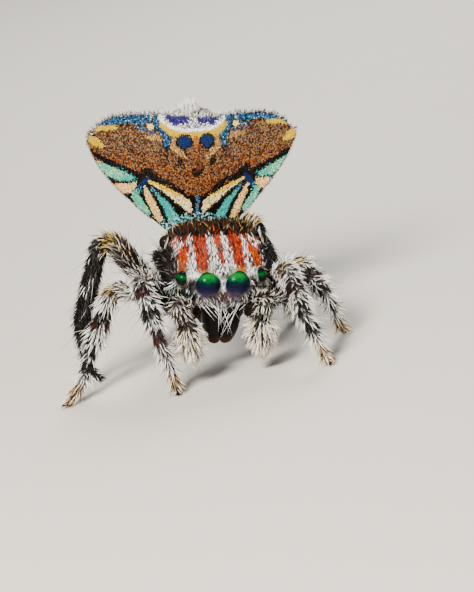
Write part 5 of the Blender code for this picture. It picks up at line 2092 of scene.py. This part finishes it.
@dataclass
class Abdomen:
    """The raised abdomen behind the fan, its stalk, and the spinnerets with their tuft."""

    studio: Studio
    inset: float = 0.02
    sides: int = 48
    stalk_radius: float = 0.062
    hair_step: float = 0.034
    tuft_hairs: int = 700
    tuft_length: float = 0.15
    cone_foot: float = 1.95
    cone_height: float = 0.09
    cone_tint: str = "9a9088"
    loft: Loft = field(init=False)

    def __post_init__(self) -> None:
        """Shapes the abdomen, which the hairs grow on."""
        self.loft = self.body()

    def body(self) -> Loft:
        """The abdomen's skin, from its foot to its end.

        Returns:
            The loft.
        """
        heights = [np.linspace(0.0, 0.12, 6), np.linspace(0.17, 1.85, 36), np.linspace(1.88, 2.0, 8)]
        rings, heights = [], np.concatenate(heights)
        for y in heights:
            ends = 0.55 + 0.45 * smoothstep(0.0, 0.05, y) * (1 - smoothstep(1.96, 2.0, y))
            tables = (ABDOMEN_WIDTH, ABDOMEN_BACK, ABDOMEN_BELLY)
            half, back, belly = (read(table, y) * ends - self.inset for table in tables)
            x, z = superellipse(self.sides, half, max(back, 0.01), max(belly, 0.02), 2.2)
            rings.append(FAN.point(stack(x, y, ABDOMEN_MIDDLE + z)))
        return Loft(np.array(rings), heights)

    def stalk(self) -> Loft:
        """The pedicel from the carapace's rear to the abdomen's foot.

        Returns:
            The loft.
        """
        joints = [HEAD.point(place) for place in ((0, -1.72, -0.35), (0, -1.83, -0.36))]
        joints += [FAN.point(place) for place in ((0, -0.2, -0.2), (0, 0.06, -0.22))]
        route = Route(joints, (0.04, 0.04))
        return route.loft([(0, self.stalk_radius), (route.length, self.stalk_radius)], sides=16)

    def coat(self) -> Coat:
        """Short hairs of the belly and sides.

        Returns:
            The coat, built and settled.
        """
        rng = self.studio.rng
        roots = self.loft.roots(self.hair_step, rng)
        roots = roots.only(FAN.local(roots.at)[:, 2] < ABDOMEN_MIDDLE - 0.015)
        tint = pick(rng, roots.count, mix(brown=0.28, umber=0.22, grey=0.22, cream=0.28))
        pale = rng.random(roots.count) < 0.55 * bell(FAN.local(roots.at)[:, 0], 0.22)
        tint[pale] = pick(rng, int(pale.sum()), mix(cream=0.7, white=0.3))
        coat = Coat("belly_hairs", self.studio.seta)
        coat.add(roots, lay(roots, FAN.y, 17.0, 14.0, rng), 0.02, 0.115, tint, bend=-0.1)
        return coat.build(self.studio, SEED + 61, "fan_scales")

    def tuft(self) -> None:
        """The spinnerets and the white tuft round them."""
        rng, count = self.studio.rng, self.tuft_hairs
        angle, radius = rng.uniform(0, 2 * np.pi, count), np.sqrt(rng.random(count))
        x, z = np.cos(angle) * radius, np.sin(angle) * radius
        dome = ABDOMEN_LENGTH - 0.01 + 0.05 * (1 - radius**2)
        at = FAN.point(stack(x * 0.115, dome, ABDOMEN_MIDDLE + 0.02 + z * 0.08))
        lie = stack(x * 0.45, 1.0 - 0.2 * radius, z * 0.6) + rng.normal(0, 0.12, (count, 3))
        roots = Roots(at, FAN.direction(stack(x, 0, z)), stack(0.5 + 0.4 * x, 0.5 + 0.4 * z))
        coat = Coat("spinneret_tuft", self.studio.seta, segments=4, swell=1.0)
        tint = pick(rng, count, mix(snow=0.74, grey=0.18, umber=0.08))
        length = self.tuft_length * (1.1 - 0.5 * radius) * rng.uniform(0.7, 1.2, count)
        bend = rng.normal(0, 0.18, count)
        coat.add(roots, FAN.direction(lie), 0.0135, length, tint, bend=bend, sink=0.0)
        coat.build(self.studio, SEED + 62, "cream_setae")
        rings, heights = [], np.linspace(self.cone_foot, 2.035, 9)
        for y in heights:
            share = math.sqrt(max(1 - ((y - self.cone_foot) / self.cone_height) ** 2, 0.02))
            x, z = superellipse(24, 0.115 * share, 0.065 * share, 0.065 * share, 2.0)
            rings.append(FAN.point(stack(x, y, ABDOMEN_MIDDLE - 0.03 + z)))
        loft = Loft(np.array(rings), heights)
        made = self.studio.solid("spinneret_cones", [loft], self.studio.cuticle, linear(self.cone_tint))
        settle(made, "cream_setae", "spinnerets")


@dataclass
class Skin:
    """One skin over head, abdomen, palps and legs, tinted by the coat that grows on it."""

    studio: Studio
    voxel: float = 0.021
    passes: int = 3  # of smoothing
    reach: float = 0.05
    strength: float = 0.3  # of the markings
    bare: str = "1c130f"

    def build(self, lofts: list[Loft], coats: list[Coat]) -> None:
        """Melts the lofts into one closed surface.

        Args:
            lofts: The parts of the body.
            coats: What grows on them, for the markings.
        """
        studio = self.studio
        points, faces = shells(lofts)
        made = studio.mesh("skin", points + studio.shift, faces, studio.cuticle)
        outward(made)
        remesh = made.modifiers.new("melt", "REMESH")
        remesh.mode, remesh.voxel_size = "VOXEL", self.voxel
        soften = made.modifiers.new("soften", "SMOOTH")
        soften.factor, soften.iterations = 0.5, self.passes
        result = studio.bake(made)
        if not result.materials:
            result.materials.append(studio.cuticle)
        set_attribute(result, "tint", self.tint(result, coats))
        result.transform(Matrix.Scale(MM, 4))
        result.shade_smooth()
        replaced = ["carapace", "sternum", "pedicel", "abdomen", "palp_left", "palp_right"]
        parts = ("femur", "tibia")
        replaced += [f"leg_{number}_{side}_{part}" for number, side in LEG_JOINTS for part in parts]
        settle(made, "dark_cuticle", *replaced)

    def tint(self, skin: Mesh, coats: list[Coat]) -> Array:
        """The skin's colours: those of the three nearest roots, fading to bare cuticle away from them.

        Args:
            skin: The skin, in mm.
            coats: What grows on it.

        Returns:
            Linear RGB of each vertex.
        """
        at = np.zeros(len(skin.vertices) * 3)
        skin.vertices.foreach_get("co", at)
        roots = np.concatenate([coat.joined("at") for coat in coats]) + self.studio.shift
        tints = np.concatenate([coat.joined("tint") for coat in coats])
        tree = KDTree(len(roots))
        for i, root in enumerate(roots):
            tree.insert(root, i)
        tree.balance()
        hits = [tree.find_n(point, 3) for point in at.reshape(-1, 3)]
        near = np.array([[hit[1] for hit in three] for three in hits])
        share = self.strength * bell(np.array([three[0][2] for three in hits]), self.reach)[:, None]
        return tints[near].mean(axis=1) * share + linear(self.bare) * (1 - share)


@dataclass
class Claws:
    """Two small hooked claws at the end of each foot."""

    studio: Studio
    steps: int = 8
    sides: int = 10
    reach: float = 0.075
    radius: float = 0.011
    tint: str = "1a0f0a"

    def build(self, routes: list[Route]) -> None:
        """All the claws as one piece.

        Args:
            routes: The legs' routes.
        """
        lofts = []
        for route in routes:
            foot = route.points[-1]
            ahead = unit((foot - route.at(route.length - 0.3)) * (1, 1, 0))
            side = np.cross(ahead, (0, 0, 1))
            turn = (2 * np.pi * np.arange(self.sides) / self.sides)[:, None]
            ring = side * np.cos(turn) + np.array((0, 0, 1)) * np.sin(turn)
            for sign in (-1, 1):
                rings = []
                for t in (k / self.steps for k in range(self.steps + 1)):
                    centre = foot + ahead * (0.02 + self.reach * t) + side * sign * (0.014 + 0.012 * t)
                    centre = centre + np.array((0, 0, 0.04 + 0.028 * math.sin(math.pi * t) - 0.034 * t))
                    rings.append(centre + ring * (self.radius * (1 - t) ** 0.7 + 0.0008))
                lofts.append(Loft(np.array(rings), np.arange(len(rings))))
        finish = JawFinish("claw_chitin").material()
        settle(self.studio.solid("claws", lofts, finish, linear(self.tint)), "jaw_cuticle")


@dataclass(frozen=True)
class Shot:
    """The camera's place: the photograph's angle, roll and scale."""

    azimuth: float = -2.7
    elevation: float = 15.0
    roll: float = 12.5
    distance: float = 60.0
    pixels_per_mm: float = 70.0
    image: tuple[int, int] = (474, 592)
    origin_pixel: tuple[float, float] = (238.0, 372.0)
    sensor: float = 36.0

    def axes(self) -> tuple[Array, Array, Array]:
        """The camera's axes.

        Returns:
            Its right, up and backward directions.
        """
        azimuth, elevation, roll = (math.radians(a) for a in (self.azimuth, self.elevation, self.roll))
        flat = math.cos(elevation)
        back = np.array((math.sin(azimuth) * flat, -math.cos(azimuth) * flat, math.sin(elevation)))
        level = np.array((math.cos(azimuth), math.sin(azimuth), 0.0))
        top = np.cross(back, level)
        right = math.cos(roll) * level - math.sin(roll) * top
        return right, math.sin(roll) * level + math.cos(roll) * top, back

    def build(self, studio: Studio) -> None:
        """Makes the camera, whose scale holds in the plane through the face.

        Args:
            studio: Where the spider stands.
        """
        right, up, back = self.axes()
        away = (np.array(self.image) / 2 - np.array(self.origin_pixel)) / self.pixels_per_mm
        target = right * away[0] - up * away[1]
        target = target + back * (np.array(HEAD_AT) @ back - target @ back)
        data = bpy.data.cameras.new("camera")
        data.sensor_width = self.sensor
        data.lens = self.sensor * self.distance / (self.image[1] / self.pixels_per_mm)
        data.clip_start, data.clip_end = MM, 5.0
        camera = bpy.data.objects.new("camera", data)
        bpy.context.scene.collection.objects.link(camera)
        turn = Matrix((right, up, back)).transposed().to_4x4()
        camera.matrix_world = Matrix.Translation(studio.world(target + back * self.distance)) @ turn
        bpy.context.scene.camera = camera


@dataclass(frozen=True)
class Lamp:
    """One soft round lamp that faces the spider: its place and width in mm, strength in watts and colour."""

    name: str
    place: tuple[float, float, float]
    size: float
    power: float
    colour: str = "ffffff"
    aim: tuple[float, float, float] = (0, 0, 1.6)

    def build(self) -> None:
        """Hangs the lamp."""
        data = bpy.data.lights.new(self.name, "AREA")
        data.shape, data.size, data.energy = "DISK", self.size * MM, self.power
        data.color = tuple(linear(self.colour))
        lamp = bpy.data.objects.new(self.name, data)
        bpy.context.scene.collection.objects.link(lamp)
        place = Vector(self.place) * MM
        turn = (Vector(self.aim) * MM - place).to_track_quat("-Z", "Y").to_matrix()
        lamp.matrix_world = Matrix.Translation(place) @ turn.to_4x4()


@dataclass
class Stage:
    """The studio: a pale floor, soft lamps and an even sky."""

    studio: Studio
    half: float = 0.6  # metres
    sky: str = "e9edf2"
    sky_strength: float = 0.085
    lamps: tuple[Lamp, ...] = (
        Lamp("key", (-16, -30, 30), 17, 0.066, "fffaf2"),
        Lamp("fill", (32, -24, 14), 24, 0.008, "f2f6ff"),
        Lamp("rim", (8, 28, 30), 18, 0.022),
    )

    def floor(self) -> None:
        """A large flat floor at the spider's feet."""
        corners = np.array([(-1, -1, 0), (1, -1, 0), (1, 1, 0), (-1, 1, 0)]) * self.half
        self.studio.mesh("floor", corners, [(0, 1, 2, 3)], PlasterFinish("matt_plaster").material())

    def lights(self) -> None:
        """Key from above the camera, a fill from one side, a rim from behind, and the sky."""
        for lamp in self.lamps:
            lamp.build()
        world = bpy.data.worlds.new("sky")
        world.use_nodes = True
        shade = {"Color": (*linear(self.sky), 1), "Strength": self.sky_strength}
        wire(world.node_tree, world.node_tree.nodes["Background"], shade)
        bpy.context.scene.world = world


def main() -> None:
    """Builds every class in order and reports each piece."""
    logging.basicConfig(level=logging.INFO, format="%(message)s")
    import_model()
    studio = Studio()
    head, limbs, abdomen = Head(studio), Limbs(studio), Abdomen(studio)
    coats = [*head.coats(), abdomen.coat()]
    coats += [limbs.leg_coat(*key) for key in LEG_JOINTS]
    coats += [limbs.palp_coat(side) for side in SIDES]
    lofts = [head.shield, head.sternum(), abdomen.loft, abdomen.stalk()]
    lofts += [loft for _, loft in (*limbs.legs.values(), *limbs.palps.values())]
    Skin(studio).build(lofts, coats)

    head.bristles()
    head.eyes()
    head.jaws()
    head.mouth()
    fan = Fan(studio)
    fan.plate()
    fan.scales()
    fan.fringe()
    abdomen.tuft()
    Claws(studio).build([route for route, _ in limbs.legs.values()])

    stage = Stage(studio)
    stage.floor()
    stage.lights()
    Shot().build(studio)


if __name__ == "__main__":
    main()
